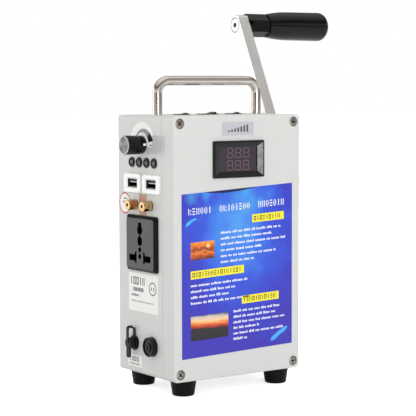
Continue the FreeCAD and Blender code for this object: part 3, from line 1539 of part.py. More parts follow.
def shaft_bearings():
    """Flanged bush in the wall and plain bush in the gear plate."""
    bore = shaft_radius + running_clearance
    wall = rod_x(wall_bush_radius - seat_clearance, right_inner - wall_boss_length, right + 1, crank_y,
                 crank_z)
    wall = wall.fuse(rod_x(wall_bush_flange_radius, right, right + wall_bush_flange, crank_y, crank_z))
    wall = wall.cut(rod_x(bore, right_inner - 10, right + 5, crank_y, crank_z)).removeSplitter()
    x0 = plate_inner - wall_bush_flange
    plate = tube_x(plate_bush_radius, bore, x0, x0 + plate_bush_length, crank_y, crank_z)
    return Part.makeCompound([wall, plate])


# ---------------------------------------------------------------- battery and electronics
def cell_spots():
    first_z = floor_inner + cradle_wall + cradle_margin + cell_radius
    return [(cell_pitch * (i - (cells_across - 1) / 2), first_z + cell_pitch * j)
            for i in range(cells_across) for j in range(cells_up)]


def battery_cells():
    x0 = cradle_x - cell_length / 2
    cells = []
    for y, z in cell_spots():
        cell = rod_x(cell_radius, x0, x0 + cell_length, y, z)
        ends = edges_on_plane(cell, X_AXIS, x0) + edges_on_plane(cell, X_AXIS, x0 + cell_length)
        cells.append(cell.makeFillet(cell_edge_radius, ends))
    return Part.makeCompound(cells)


def battery_cradle():
    """Two end blocks bored for the cells, joined by a base."""
    half_width = cell_pitch * (cells_across - 1) / 2 + cell_radius + cradle_margin
    height = cradle_wall + 2 * cradle_margin + cell_pitch * (cells_up - 1) + 2 * cell_radius
    x0 = cradle_x - cradle_half_length
    x1 = cradle_x + cradle_half_length
    parts = [block(x0, x1, -half_width, half_width, floor_inner, floor_inner + cradle_wall)]
    for a, b in ((x0, x0 + cradle_block_length), (x1 - cradle_block_length, x1)):
        parts.append(block(a, b, -half_width, half_width, floor_inner, floor_inner + height))
    cradle = fused(parts)
    for y, z in cell_spots():
        cradle = cradle.cut(rod_x(cell_radius + running_clearance, x0 + cradle_wall, x1 - cradle_wall, y, z))
    return cradle


def inverter_board():
    """Circuit board with two capacitors and a finned heat sink."""
    x0 = board_center_x - board_width / 2
    board = block(x0, x0 + board_width, board_front, board_back, board_bottom, board_top)
    parts = [board]
    for i in range(2):
        x = x0 + capacitor_radius + capacitor_margin / 2 + capacitor_pitch * i
        parts.append(rod_y(capacitor_radius, board_front - capacitor_length, board_front, x,
                           board_bottom + capacitor_radius + capacitor_margin))
    sink_top = board_top - heat_sink_margin
    sink = block(board_center_x - heat_sink_width / 2, board_center_x + heat_sink_width / 2,
                 board_front - heat_sink_depth, board_front, sink_top - heat_sink_height, sink_top)
    fins = int(heat_sink_width / (2 * heat_sink_fin))
    for i in range(fins):
        x = board_center_x - heat_sink_width / 2 + heat_sink_fin * (2 * i + 1)
        sink = sink.cut(block(x, x + heat_sink_fin, board_front - heat_sink_depth - 1,
                              board_front - heat_sink_base, board_bottom, board_top + 1))
    parts.append(sink)
    return Part.makeCompound(parts)


def transformer():
    z = generator_z + generator_body_radius + transformer_generator_gap + transformer_height / 2
    core = front_block(transformer_width, transformer_height, board_front - transformer_depth, board_front,
                       board_center_x, z)
    window = front_block(transformer_width - 4 * transformer_flange, transformer_height + 2,
                         board_front - transformer_depth + transformer_flange,
                         board_front - transformer_flange, board_center_x, z)
    core = core.cut(window)
    coil = front_block(transformer_winding, transformer_height - 2,
                       board_front - transformer_depth + transformer_flange + transformer_coil_gap,
                       board_front - transformer_flange - transformer_coil_gap, board_center_x, z)
    coil = coil.makeFillet(transformer_coil_radius, edges_along(coil, Z_AXIS))
    spool = front_block(transformer_width - 4 * transformer_flange, transformer_flange,
                        board_front - transformer_depth + transformer_flange,
                        board_front - transformer_flange, board_center_x, z)
    return fused([core, coil, spool])


# ---------------------------------------------------------------- every node
def nodes():
    shapes = {
        "rear_case": rear_case(),
        "front_cover": front_cover(),
        "cover_gasket": cover_gasket(),
        "cover_screws": cover_screws(),
        "screw_inserts": screw_inserts(),
        "feet": feet(),
        "foot_screws": foot_screws(),
        "carry_handle": carry_handle(),
        "handle_screws": handle_screws(),
        "meter_bezel": meter_bezel(),
        "meter_window": meter_window(),
        "meter_board": meter_board(),
        "front_label": front_label(),
        "dial_plate": dial_plate(),
        "panel_labels": panel_labels(),
        "seal_tape": seal_tape(),
        "potentiometer": potentiometer(),
        "pot_shaft": pot_shaft(),
        "knob_body": knob_body(),
        "knob_cap": knob_cap(),
        "lamp_bezels": lamp_bezels(),
        "lamp_leds": lamp_leds(),
        "post_insulators": post_insulators(),
        "socket_face": socket_face(),
        "socket_contacts": socket_contacts(),
        "charge_jack": charge_jack(),
        "charge_cap": charge_cap(),
        "charge_cap_strap": charge_cap_strap(),
        "fuse_holder": fuse_holder(),
        "fuse_cap": fuse_cap(),
        "fuse_link": fuse_link(),
        "switch_frames": switch_frames(),
        "crank_shaft": crank_shaft(),
        "crank_arm": crank_arm(),
        "crank_nut": crank_nut(),
        "grip_screw": grip_screw(),
        "grip_collar": grip_collar(),
        "grip_sleeve": grip_sleeve(),
        "drive_gear": drive_gear(),
        "idler_gear": idler_gear(),
        "idler_axle": idler_axle(),
        "generator_pinion": generator_pinion(),
        "generator_motor": generator_motor(),
        "gear_plate": gear_plate(),
        "shaft_bearings": shaft_bearings(),
        "battery_cells": battery_cells(),
        "battery_cradle": battery_cradle(),
        "inverter_board": inverter_board(),
        "transformer": transformer(),
    }
    for i, y in enumerate(usb_ys):
        shapes["usb_bezel_%d" % (i + 1)] = usb_bezel(y)
        shapes["usb_port_%d" % (i + 1)] = usb_port(y)
    for i, y in enumerate(terminal_ys):
        shapes["post_stud_%d" % (i + 1)] = post_stud(y)
        shapes["post_nut_%d" % (i + 1)] = post_nut(y, i == 0)
    for i, (x, size) in enumerate(zip(switch_xs, switch_sizes)):
        shapes["switch_rocker_%d" % (i + 1)] = switch_rocker(x, size)
    return shapes


os.makedirs("parts", exist_ok=True)
for name, shape in nodes().items():
    shape.exportStep("parts/%s.step" % name)
    box = shape.BoundBox
    print("%-18s solids %d valid %s volume %.1f  x %.1f %.1f y %.1f %.1f z %.1f %.1f"
          % (name, len(shape.Solids), shape.isValid(), shape.Volume, box.XMin, box.XMax, box.YMin,
             box.YMax, box.ZMin, box.ZMax))
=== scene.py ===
import bmesh
import bpy
import math
import random
from mathutils import Matrix, Vector


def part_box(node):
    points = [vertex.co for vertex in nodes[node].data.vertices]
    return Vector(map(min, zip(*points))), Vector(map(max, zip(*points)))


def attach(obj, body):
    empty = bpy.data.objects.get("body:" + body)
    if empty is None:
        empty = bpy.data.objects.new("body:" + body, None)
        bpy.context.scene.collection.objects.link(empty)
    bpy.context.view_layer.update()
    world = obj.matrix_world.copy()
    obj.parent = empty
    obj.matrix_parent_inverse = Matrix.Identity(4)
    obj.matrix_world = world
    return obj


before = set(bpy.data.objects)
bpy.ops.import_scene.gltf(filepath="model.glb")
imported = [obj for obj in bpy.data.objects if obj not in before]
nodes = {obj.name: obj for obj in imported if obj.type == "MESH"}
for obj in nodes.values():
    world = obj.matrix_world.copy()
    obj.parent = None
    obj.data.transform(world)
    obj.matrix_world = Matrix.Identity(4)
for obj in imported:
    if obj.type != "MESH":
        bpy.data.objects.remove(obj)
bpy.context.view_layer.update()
scene = bpy.context.scene
rng = random.Random(7)
MM = 0.001


class Box:
    """A CAD node's box at rest, in millimetres."""

    def __init__(self, node):
        low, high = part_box(node)
        self.x0, self.y0, self.z0 = low / MM
        self.x1, self.y1, self.z1 = high / MM
        self.x, self.y, self.z = (low + high) / 2 / MM


lid = Box("front_cover")
case = Box("rear_case")
meter = Box("meter_bezel")
window = Box("meter_window")
knob = Box("knob_body")
label = Box("front_label")
stickers = Box("panel_labels")
socket = Box("socket_face")
usb_port = Box("usb_port_1")
posts = [Box("post_stud_1"), Box("post_stud_2")]

# ------------------------------------------------------------------ camera
view_azimuth = math.radians(-34.859)
view_elevation = math.radians(4.610)
view_roll = math.radians(-0.155)
camera_place = Vector((-0.697218, -1.000919, 0.238534))
camera_lens = 133.2
toward_camera = Vector((math.sin(view_azimuth) * math.cos(view_elevation),
                        -math.cos(view_azimuth) * math.cos(view_elevation), math.sin(view_elevation)))
image_right = (-toward_camera).cross(Vector((0, 0, 1))).normalized()
image_up = image_right.cross(-toward_camera)


def make_camera():
    camera = bpy.data.objects.new("camera", bpy.data.cameras.new("camera"))
    scene.collection.objects.link(camera)
    x = image_right * math.cos(view_roll) + image_up * math.sin(view_roll)
    y = image_up * math.cos(view_roll) - image_right * math.sin(view_roll)
    turn = Matrix((x, y, toward_camera)).transposed().to_4x4()
    camera.matrix_world = Matrix.Translation(camera_place) @ turn
    camera.data.sensor_width = 36
    camera.data.lens = camera_lens
    camera.data.clip_start = 0.05
    camera.data.clip_end = 20
    scene.camera = camera
    scene.view_settings.view_transform = "Standard"


make_camera()


# ------------------------------------------------------------------ shader helpers
def srgb(r, g, b):
    """Linear colour from the usual 0 to 255 values."""
    out = []
    for c in (r, g, b):
        c /= 255
        out.append(c / 12.92 if c <= 0.04045 else ((c + 0.055) / 1.055) ** 2.4)
    return tuple(out)


def shade(color, k):
    return tuple(max(0.0, min(1.0, c * k)) for c in color)


class Graph:
    """Short calls for the nodes of one material or world."""

    def __init__(self, tree):
        self.tree = tree

    def add(self, kind, **values):
        node = self.tree.nodes.new(kind)
        for key, value in values.items():
            setattr(node, key, value)
        return node

    def link(self, a, b):
        self.tree.links.new(a, b)

    def set(self, node, **values):
        """Set or link inputs by name, or by number as i0, i1, i2."""
        for key, value in values.items():
            socket = node.inputs[int(key[1:])] if key[1:].isdigit() else node.inputs[key.replace("_", " ")]
            if isinstance(value, bpy.types.NodeSocket):
                self.link(value, socket)
            else:
                socket.default_value = value
        return node

    def math(self, operation, a, b=0.0, c=0.0):
        return self.set(self.add("ShaderNodeMath", operation=operation), i0=a, i1=b, i2=c).outputs[0]

    def dot(self, vector, direction):
        node = self.set(self.add("ShaderNodeVectorMath", operation="DOT_PRODUCT"), i0=vector)
        node.inputs[1].default_value = direction
        return node.outputs["Value"]

    def remap(self, value, low, high, to_low, to_high):
        node = self.add("ShaderNodeMapRange")
        return self.set(node, Value=value, From_Min=low, From_Max=high, To_Min=to_low,
                        To_Max=to_high).outputs[0]

    def ramp(self, value, stops, interpolation="LINEAR"):
        node = self.set(self.add("ShaderNodeValToRGB"), i0=value)
        band = node.color_ramp
        band.interpolation = interpolation
        while len(band.elements) < len(stops):
            band.elements.new(0.5)
        for element, (at, color) in zip(band.elements, stops):
            element.position = at
            element.color = (*color, 1)
        return node.outputs[0]

    def mix(self, factor, a, b, blend="MIX"):
        node = self.add("ShaderNodeMix", data_type="RGBA", blend_type=blend)
        for index, value in ((0, factor), (6, a), (7, b)):
            if isinstance(value, bpy.types.NodeSocket):
                self.link(value, node.inputs[index])
            else:
                node.inputs[index].default_value = value if index == 0 else (*value, 1)
        return node.outputs[2]


class Shader(Graph):
    """A Principled material. Its textures are laid out in the row frame."""

    def __init__(self, name, rough=0.5, metallic=0.0, coat=0.0, coat_rough=0.1, ior=1.46, specular=0.5):
        self.mat = bpy.data.materials.new(name)
        self.mat.use_nodes = True
        super().__init__(self.mat.node_tree)
        self.bsdf = self.tree.nodes["Principled BSDF"]
        self.put("Roughness", rough)
        self.put("Metallic", metallic)
        self.put("Coat Weight", coat)
        self.put("Coat Roughness", coat_rough)
        self.put("IOR", ior)
        self.put("Specular IOR Level", specular)
        self.coords = self.add("ShaderNodeTexCoord").outputs["Object"]

    def put(self, socket, value):
        self.bsdf.inputs[socket].default_value = value

    def axis(self, index):
        """Row-frame x, y or z in millimetres."""
        parts = self.set(self.add("ShaderNodeSeparateXYZ"), i0=self.coords)
        return self.math("MULTIPLY", parts.outputs[index], 1 / MM)

    def stretch(self, x=1.0, y=1.0, z=1.0):
        node = self.set(self.add("ShaderNodeMapping"), Vector=self.coords)
        node.inputs["Scale"].default_value = (x, y, z)
        return node.outputs[0]

    def noise(self, scale, detail=4.0, rough=0.55, vector=None):
        node = self.add("ShaderNodeTexNoise")
        self.set(node, Vector=vector or self.coords, Scale=scale, Detail=detail, Roughness=rough)
        return node.outputs[0]

    def patches(self, scale, low, high, strength, detail=4.0, rough=0.55, vector=None):
        """A mask that is 0 over most of the surface and rises to a strength in scattered patches."""
        return self.remap(self.noise(scale, detail, rough, vector), low, high, 0, strength)

    def cells(self, scale):
        node = self.add("ShaderNodeTexVoronoi")
        return self.set(node, Vector=self.coords, Scale=scale).outputs["Distance"]

    def bump(self, height, strength=0.3, distance=0.0002):
        node = self.add("ShaderNodeBump")
        self.set(node, Height=height, Strength=strength, Distance=distance)
        normal = self.bsdf.inputs["Normal"]
        if normal.is_linked:
            self.link(normal.links[0].from_socket, node.inputs["Normal"])
        self.link(node.outputs[0], normal)

    def color(self, value):
        self.link(value, self.bsdf.inputs["Base Color"])

    def roughness(self, value):
        self.link(value, self.bsdf.inputs["Roughness"])

    def uneven_gloss(self, scale, rough, spread=0.06):
        self.roughness(self.remap(self.noise(scale, 4), 0.3, 0.7, rough - spread, rough + spread))


def moulded(name, color, rough=0.45, grain=2200, depth=0.12, mottle=0.04, coat=0.0, specular=0.5):
    """Injection-moulded plastic: fine spark texture, faint mottling, uneven gloss."""
    m = Shader(name, rough, coat=coat, specular=specular)
    m.color(m.mix(m.noise(45, 3), shade(color, 1 - mottle), shade(color, 1 + mottle)))
    m.uneven_gloss(260, rough)
    m.bump(m.noise(grain, 2), depth, 0.0001)
    return m.mat


def metal(name, color, rough=0.25, streak=(1, 1, 1), scale=900, depth=0.1, mottle=0.06, aniso=0.0,
          metallic=1.0):
    """Bare metal with brushing or turning marks along the short axis of streak."""
    m = Shader(name, rough, metallic)
    m.put("Anisotropic", aniso)
    lines = m.noise(scale, 5, 0.65, m.stretch(*streak))
    tone = m.mix(lines, shade(color, 1 - mottle), shade(color, 1 + mottle))
    m.color(m.mix(m.patches(120, 0.45, 0.75, 0.35), tone, shade(color, 0.82)))
    m.roughness(m.remap(lines, 0.25, 0.75, rough * 0.75, rough * 1.3))
    m.bump(lines, depth, 0.00006)
    return m.mat


def printed(name, color, rough=0.35, mottle=0.03, coat=0.0):
    """Ink or sticker paper."""
    m = Shader(name, rough, coat=coat)
    m.color(m.mix(m.noise(600, 3), shade(color, 1 - mottle), shade(color, 1 + mottle)))
    m.uneven_gloss(220, rough)
    return m.mat


def rubber(name, color, rough=0.5, specular=0.3):
    m = Shader(name, rough, specular=specular)
    dust = m.patches(340, 0.55, 0.8, 0.35, 5, 0.7)
    m.color(m.mix(dust, color, shade(color, 2.2)))
    m.uneven_gloss(200, rough, 0.09)
    m.bump(m.noise(2400, 3), 0.25, 0.0001)
    return m.mat


def clear(name, color, rough):
    """Clear glass or plastic."""
    m = Shader(name, rough, ior=1.5)
    m.put("Transmission Weight", 0.9)
    m.color(m.mix(m.noise(500, 2), shade(color, 0.96), color))
    m.uneven_gloss(700, rough + 0.02, 0.02)
    return m.mat


# ------------------------------------------------------------------ materials with a pattern of their own
def case_material():
    """Light grey box plastic: fine grain, faint handling marks, fine greyer specks."""
    m = Shader("case_plastic", 0.42)
    base = srgb(213, 214, 211)
    warm = m.mix(m.noise(9, 3), shade(base, 0.98), shade(base, 1.02))
    dull = m.mix(m.patches(1500, 0.62, 0.8, 0.10, 2), warm, srgb(192, 192, 188))
    scuffed = m.mix(m.patches(70, 0.60, 0.78, 0.12, 6, 0.7, m.stretch(1, 1, 0.3)), dull, srgb(199, 198, 193))
    m.color(scuffed)
    m.uneven_gloss(180, 0.43, 0.07)
    m.bump(m.noise(2600, 2), 0.16, 0.00008)
    m.bump(m.noise(60, 2), 0.04, 0.0004)
    return m.mat


def label_material():
    """Printed vinyl, indigo with an azure glow; the small plate over the meter is pale lilac grey."""
    m = Shader("label_vinyl", 0.34, coat=0.15, coat_rough=0.2)
    glow_x, glow_z = label.x + 2, label.z + 12
    glow_width, glow_height = 58, 78
    spot_rise = 22
    x = m.math("MULTIPLY", m.math("SUBTRACT", m.axis(0), glow_x), 1 / glow_width)
    z = m.math("MULTIPLY", m.math("SUBTRACT", m.axis(2), glow_z), 1 / glow_height)
    far = m.math("SQRT", m.math("ADD", m.math("MULTIPLY", x, x), m.math("MULTIPLY", z, z)))
    spread = m.math("ADD", far, m.remap(m.noise(38, 2, 0.5), 0.3, 0.7, -0.18, 0.18))
    blue = m.ramp(m.math("MULTIPLY", spread, 0.8), [
        (0.0, srgb(78, 158, 236)), (0.24, srgb(60, 128, 232)), (0.44, srgb(48, 84, 216)),
        (0.70, srgb(50, 58, 194)), (1.0, srgb(56, 48, 180))])
    upper = m.remap(m.axis(2), glow_z, glow_z + spot_rise, 0, 1)
    spots = m.math("MULTIPLY", m.patches(62, 0.50, 0.66, 0.55, 1), upper)
    blue = m.mix(spots, blue, srgb(74, 178, 240))
    plate = m.mix(m.noise(900, 3), srgb(188, 189, 193), srgb(198, 199, 205))
    m.color(m.mix(m.math("GREATER_THAN", m.axis(2), meter.z1), blue, plate))
    m.uneven_gloss(300, 0.32)
    m.bump(m.noise(900, 3), 0.05, 0.0001)
    return m.mat


def socket_material():
    """Grey face; the sloping sides and the rim are darker, and the inside of the openings is painted the same
    dark as painted shade.
    """
    m = Shader("socket_plastic", 0.36, specular=0.2)
    face_depth = 0.03
    on_face = m.math("LESS_THAN", m.axis(0), socket.x0 + face_depth)
    grey = m.mix(m.noise(45, 3), srgb(86, 85, 88), srgb(96, 95, 98))
    # behind the face plane: the darker rim, and painted shade inside the openings
    m.color(m.mix(on_face, srgb(14, 14, 17), grey))
    m.uneven_gloss(260, 0.36)
    m.bump(m.noise(2200, 2), 0.12, 0.0001)
    return m.mat


def spun_material():
    """Disc turned on a lathe: fine rings, with a painted sheen that fans out across them in lighter and
    darker sectors, and a painted highlight on the rim.
    """
    m = Shader("knob_disc", 0.3, 1.0)
    ring_rate = 16
    fan_lobes, fan_turn = 3, 0.6
    rim_radius = 6.5
    m.put("Anisotropic", 0.85)
    m.link(m.add("ShaderNodeTangent", direction_type="RADIAL", axis="X").outputs[0], m.bsdf.inputs["Tangent"])
    y = m.math("SUBTRACT", m.axis(1), knob.y)
    z = m.math("SUBTRACT", m.axis(2), knob.z)
    radius = m.math("SQRT", m.math("ADD", m.math("MULTIPLY", y, y), m.math("MULTIPLY", z, z)))
    rings = m.math("SINE", m.math("MULTIPLY", radius, ring_rate))
    # painted sheen: lighter and darker sectors round the axis
    painted_sheen_fan = m.math("SINE", m.math("MULTIPLY_ADD", m.math("ARCTAN2", z, y), fan_lobes, fan_turn))
    tone = m.mix(m.remap(painted_sheen_fan, -1, 1, 0, 1), srgb(84, 84, 88), srgb(124, 124, 128))
    tone = m.mix(m.remap(rings, -1, 1, 0, 0.3), tone, srgb(140, 140, 144))
    # painted highlight: the rim past rim_radius is lighter
    m.color(m.mix(m.math("GREATER_THAN", radius, rim_radius), tone, srgb(196, 196, 198)))
    m.bump(rings, 0.08, 0.00003)
    return m.mat


def usb_frame_material(port):
    """White plastic; the walls of the mouth inside the frame, out to wall_reach past the plug, are painted
    black as painted shade.
    """
    m = Shader("usb_frame_" + port, 0.28, coat=0.2)
    plug = Box("usb_port_" + port)
    wall_reach = 0.45
    across = m.math("ABSOLUTE", m.math("SUBTRACT", m.axis(1), plug.y))
    up = m.math("ABSOLUTE", m.math("SUBTRACT", m.axis(2), plug.z))
    inside = m.math("MULTIPLY", m.math("LESS_THAN", across, (plug.y1 - plug.y0) / 2 + wall_reach),
                    m.math("LESS_THAN", up, (plug.z1 - plug.z0) / 2 + wall_reach))
    white = m.mix(m.noise(45, 3), srgb(248, 247, 245), srgb(254, 253, 251))
    # painted shade: the walls of the mouth are painted black
    m.color(m.mix(inside, white, srgb(12, 12, 13)))
    m.uneven_gloss(260, 0.28)
    m.bump(m.noise(2600, 2), 0.06, 0.0001)
    return m.mat


def usb_material():
    """Plated shell, painted near black beyond its lip as painted shade in the depth of the port."""
    m = Shader("usb_shell", 0.3, 0.6)
    lip_depth = 0.12
    painted_depth_shade = m.math("GREATER_THAN", m.axis(0), usb_port.x0 + lip_depth)
    plated = m.mix(m.noise(800, 3), srgb(90, 90, 94), srgb(120, 120, 124))
    # painted shade: near black beyond the lip
    m.color(m.mix(painted_depth_shade, plated, srgb(12, 12, 13)))
    m.uneven_gloss(300, 0.3)
    return m.mat


def screw_material():
    """Stainless head, with painted shade in the bottom of its cross."""
    m = Shader("screw_steel", 0.28, 1.0)
    lines = m.noise(1500, 5, 0.65)
    steel = m.mix(lines, srgb(156, 148, 138), srgb(206, 199, 190))
    cross_top, cross_bottom = 1.2, 1.9
    # painted shade: darker towards the bottom of the cross recess
    painted_depth_shade = m.remap(m.axis(1), lid.y0 + cross_top, lid.y0 + cross_bottom, 0, 0.85)
    m.color(m.mix(painted_depth_shade, steel, srgb(52, 46, 40)))
    m.roughness(m.remap(lines, 0.25, 0.75, 0.2, 0.42))
    m.bump(lines, 0.2, 0.00006)
    return m.mat


def board_material():
    """Green circuit board with copper tracks and pads under the solder mask."""
    m = Shader("circuit_board", 0.3, coat=0.4)
    track = m.remap(m.cells(420), 0.02, 0.08, 1, 0)
    m.color(m.mix(track, srgb(18, 84, 44), srgb(46, 128, 66)))
    m.bump(track, 0.2, 0.0001)
    return m.mat


def window_material():
    """Smoked lens over an unlit display, with a soft sheen."""
    m = Shader("meter_lens", 0.12, coat=0.4, coat_rough=0.05)
    m.color(m.mix(m.noise(60, 3), srgb(40, 33, 41), srgb(54, 44, 54)))
    m.uneven_gloss(400, 0.15, 0.05)
    return m.mat


def scenery(name, z0, z1, stops, scale, wobble, stretch):
    """A small printed view: bands of colour from its foot to its top, broken up by noise."""
    m = Shader(name, 0.3, coat=0.2)
    height = m.remap(m.axis(2), z0, z1, 0, 1)
    shift = m.remap(m.noise(scale, 6, 0.62, m.stretch(*stretch)), 0.25, 0.75, -wobble, wobble)
    m.color(m.ramp(m.math("ADD", height, shift), stops))
    return m.mat


M = {
    "case": case_material(),
    "label": label_material(),
    "socket": socket_material(),
    "screw": screw_material(),
    "board": board_material(),
    "lens": window_material(),
    "foot": rubber("foot_rubber", srgb(10, 10, 11), rough=0.42, specular=0.16),
    "gasket": rubber("gasket_rubber", srgb(24, 24, 24)),
    "cap": rubber("cap_rubber", srgb(16, 15, 17), rough=0.45),
    "fixing": metal("fixing_steel", srgb(178, 172, 164), rough=0.3, scale=1500, depth=0.2, mottle=0.15),
    "brass": metal("brass", srgb(206, 172, 122), rough=0.18, streak=(3, 1, 1), depth=0.3, mottle=0.3),
    "chrome": metal("handle_steel", srgb(220, 214, 208), rough=0.08, scale=400, depth=0.02, mottle=0.03),
    "meter": moulded("meter_plastic", srgb(7, 7, 10), rough=0.13, grain=2600, depth=0.03, mottle=0.1,
                     specular=0.42),
    "white_paper": printed("paper_label", srgb(241, 241, 238), mottle=0.02, coat=0.1),
    "tape": printed("tape_film", srgb(196, 198, 197), rough=0.25, mottle=0.05, coat=0.3),
    "pot": metal("pot_metal", srgb(190, 186, 172), rough=0.3),
    "knob": moulded("knob_plastic", srgb(8, 8, 11), rough=0.16, grain=2400, depth=0.04, mottle=0.12,
                    coat=0.1, specular=0.35),
    "spun": spun_material(),
    "black": moulded("black_plastic", srgb(12, 12, 13), rough=0.3, grain=2400, depth=0.1, mottle=0.1,
                     specular=0.3),
    "lamp": clear("lamp_clear", (0.93, 0.95, 0.94), rough=0.03),
    "usb_frame_1": usb_frame_material("1"),
    "usb_frame_2": usb_frame_material("2"),
    "usb": usb_material(),
    "arm": metal("arm_aluminium", srgb(226, 225, 223), rough=0.32, streak=(1, 1, 0.06), scale=1500,
                 depth=0.14, mottle=0.04, aniso=0.3, metallic=0.72),
    "shaft": metal("shaft_steel", srgb(196, 194, 192), rough=0.24),
    "oxide": moulded("black_oxide", srgb(8, 8, 9), rough=0.28, grain=1500, depth=0.3, mottle=0.25,
                     specular=0.22),
    "grip": moulded("grip_plastic", srgb(7, 7, 14), rough=0.14, grain=1800, depth=0.03, mottle=0.15,
                    specular=0.34),
    "gear": moulded("gear_plastic", srgb(228, 222, 204), rough=0.4),
    "bronze": metal("bearing_bronze", srgb(176, 130, 80), rough=0.35),
    "zinc": metal("plate_steel", srgb(186, 188, 192), rough=0.32, streak=(1, 1, 0.2), scale=700),
    "cell": moulded("cell_wrap", srgb(36, 140, 128), rough=0.3),
    "core": moulded("transformer_core", srgb(70, 68, 64), rough=0.5),
    "glass": clear("fuse_glass", (0.95, 0.97, 0.98), rough=0.02),
}

# which CAD nodes show each finish
FINISH = {
    "case": ["rear_case", "front_cover"],
    "label": ["front_label"],
    "socket": ["socket_face"],
    "screw": ["cover_screws"],
    "fixing": ["foot_screws", "handle_screws"],
    "board": ["meter_board", "inverter_board"],
    "lens": ["meter_window"],
    "foot": ["feet"],
    "gasket": ["cover_gasket"],
    "cap": ["charge_cap", "charge_cap_strap"],
    "brass": ["screw_inserts", "post_stud_1", "post_stud_2", "post_nut_1", "post_nut_2", "socket_contacts"],
    "chrome": ["carry_handle"],
    "meter": ["meter_bezel"],
    "white_paper": ["dial_plate", "panel_labels"],
    "tape": ["seal_tape"],
    "pot": ["potentiometer", "pot_shaft"],
    "knob": ["knob_body"],
    "spun": ["knob_cap"],
    "black": ["lamp_bezels", "post_insulators", "charge_jack", "fuse_holder", "fuse_cap", "switch_frames",
              "switch_rocker_1", "switch_rocker_2", "switch_rocker_3", "battery_cradle"],
    "lamp": ["lamp_leds"],
    "usb_frame_1": ["usb_bezel_1"],
    "usb_frame_2": ["usb_bezel_2"],
    "usb": ["usb_port_1", "usb_port_2"],
    "arm": ["crank_arm"],
    "shaft": ["crank_shaft", "crank_nut", "grip_screw", "idler_axle", "generator_pinion"],
    "oxide": ["grip_collar"],
    "grip": ["grip_sleeve"],
    "gear": ["drive_gear", "idler_gear"],
    "bronze": ["shaft_bearings"],
    "zinc": ["generator_motor", "gear_plate"],
    "cell": ["battery_cells"],
    "core": ["transformer"],
    "glass": ["fuse_link"],
}
for finish, names in FINISH.items():
    for name in names:
        slots = nodes[name].data.materials
        for i in range(len(slots)):
            slots[i] = M[finish]
        if not slots:
            slots.append(M[finish])


# ------------------------------------------------------------------ flat printing
def add_piece(name, bm, materials, body):
    """Turn a bmesh into an object that rides on a body."""
    mesh = bpy.data.meshes.new(name)
    bm.to_mesh(mesh)
    bm.free()
    for material in materials:
        mesh.materials.append(material)
    piece = bpy.data.objects.new(name, mesh)
    scene.collection.objects.link(piece)
    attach(piece, body)
    return piece


# strokes of the blank display type, as x0, y0, x1, y1 in shares of its pitch and height
MARK_SHAPES = (
    ((0.0, 0.0, 0.2, 1.0), (0.5, 0.0, 0.7, 1.0), (0.0, 0.82, 0.7, 1.0), (0.0, 0.0, 0.7, 0.18)),
    ((0.0, 0.0, 0.7, 0.18), (0.0, 0.41, 0.7, 0.59), (0.0, 0.82, 0.7, 1.0)),
    ((0.0, 0.0, 0.2, 1.0), (0.5, 0.0, 0.7, 0.3), (0.5, 0.5, 0.7, 0.8)),
    ((0.0, 0.0, 0.2, 1.0), (0.5, 0.0, 0.7, 1.0)),
    ((0.25, 0.0, 0.47, 1.0),),
)


class Print:
    """Thin printed shapes on one face. place(u, v, lift) gives the point in millimetres."""

    def __init__(self, name, place, slot, inks):
        self.name = name
        self.place = place
        self.slot = slot
        self.inks = inks
        self.bm = bmesh.new()

    def poly(self, points, ink, lift=0.03):
        verts = [self.bm.verts.new(Vector(self.place(u, v, lift)) * MM) for u, v in points]
        self.bm.faces.new(verts).material_index = list(self.inks).index(ink)

    def bar(self, u0, v0, u1, v1, ink, radius=0.0, lift=0.03):
        if radius <= 0:
            self.poly([(u0, v0), (u1, v0), (u1, v1), (u0, v1)], ink, lift)
            return
        radius = min(radius, (u1 - u0) / 2, (v1 - v0) / 2)
        points = []
        for cu, cv, start in ((u1 - radius, v0 + radius, -90), (u1 - radius, v1 - radius, 0),
                              (u0 + radius, v1 - radius, 90), (u0 + radius, v0 + radius, 180)):
            for i in range(4):
                a = math.radians(start + 30 * i)
                points.append((cu + radius * math.cos(a), cv + radius * math.sin(a)))
        self.poly(points, ink, lift)

    def disc(self, cu, cv, radius, ink, lift=0.03, count=40):
        angles = [2 * math.pi * i / count for i in range(count)]
        self.poly([(cu + radius * math.cos(a), cv + radius * math.sin(a)) for a in angles], ink, lift)

    def sweep(self, inner, outer, start, end, steps, ink):
        """A curved band; inner and outer give its radii for a share t of the way round."""
        for i in range(steps):
            corners = []
            for t, radius in ((i / steps, inner), (i / steps, outer),
                              ((i + 1) / steps, outer), ((i + 1) / steps, inner)):
                a = math.radians(start + (end - start) * t)
                corners.append((radius(t) * math.cos(a), radius(t) * math.sin(a)))
            self.poly(corners, ink if isinstance(ink, str) else ink(i / steps))

    def ring(self, inner, outer, ink):
        self.sweep(lambda t: inner, lambda t: outer, 0, 360, 48, ink)

    def words(self, u0, u1, v, height, ink):
        """A line of blank type: groups of small upright marks, as wide as words."""
        letter_width = 0.62 * height
        word_gap = 0.55 * height
        corner = 0.16 * height
        u = u0
        while u < u1 - height:
            for i in range(rng.randint(3, 8)):
                wide = letter_width * rng.uniform(0.75, 1.15)
                if u + wide > u1:
                    break
                tall = height * rng.choice((0.72, 0.72, 0.72, 1.0, 0.74))
                self.bar(u, v, u + wide * 0.72, v + tall, ink, corner)
                u += wide
            u += word_gap

    def marks(self, u0, u1, v, height, pitch, ink, lift=0.03):
        """A row of blank display type, drawn in strokes."""
        count = int((u1 - u0) / pitch)
        for i in range(count):
            u = u0 + pitch * i
            for a, b, c, d in rng.choice(MARK_SHAPES):
                self.bar(u + a * pitch, v + b * height, u + c * pitch, v + d * height, ink,
                         0.06 * height, lift)

    def done(self):
        bmesh.ops.recalc_face_normals(self.bm, faces=self.bm.faces)
        outward = Vector(self.place(0, 0, 1)) - Vector(self.place(0, 0, 0))
        for face in self.bm.faces:
            if face.normal.dot(outward) < 0:
                face.normal_flip()
        return add_piece(self.name, self.bm, self.inks.values(), "box")


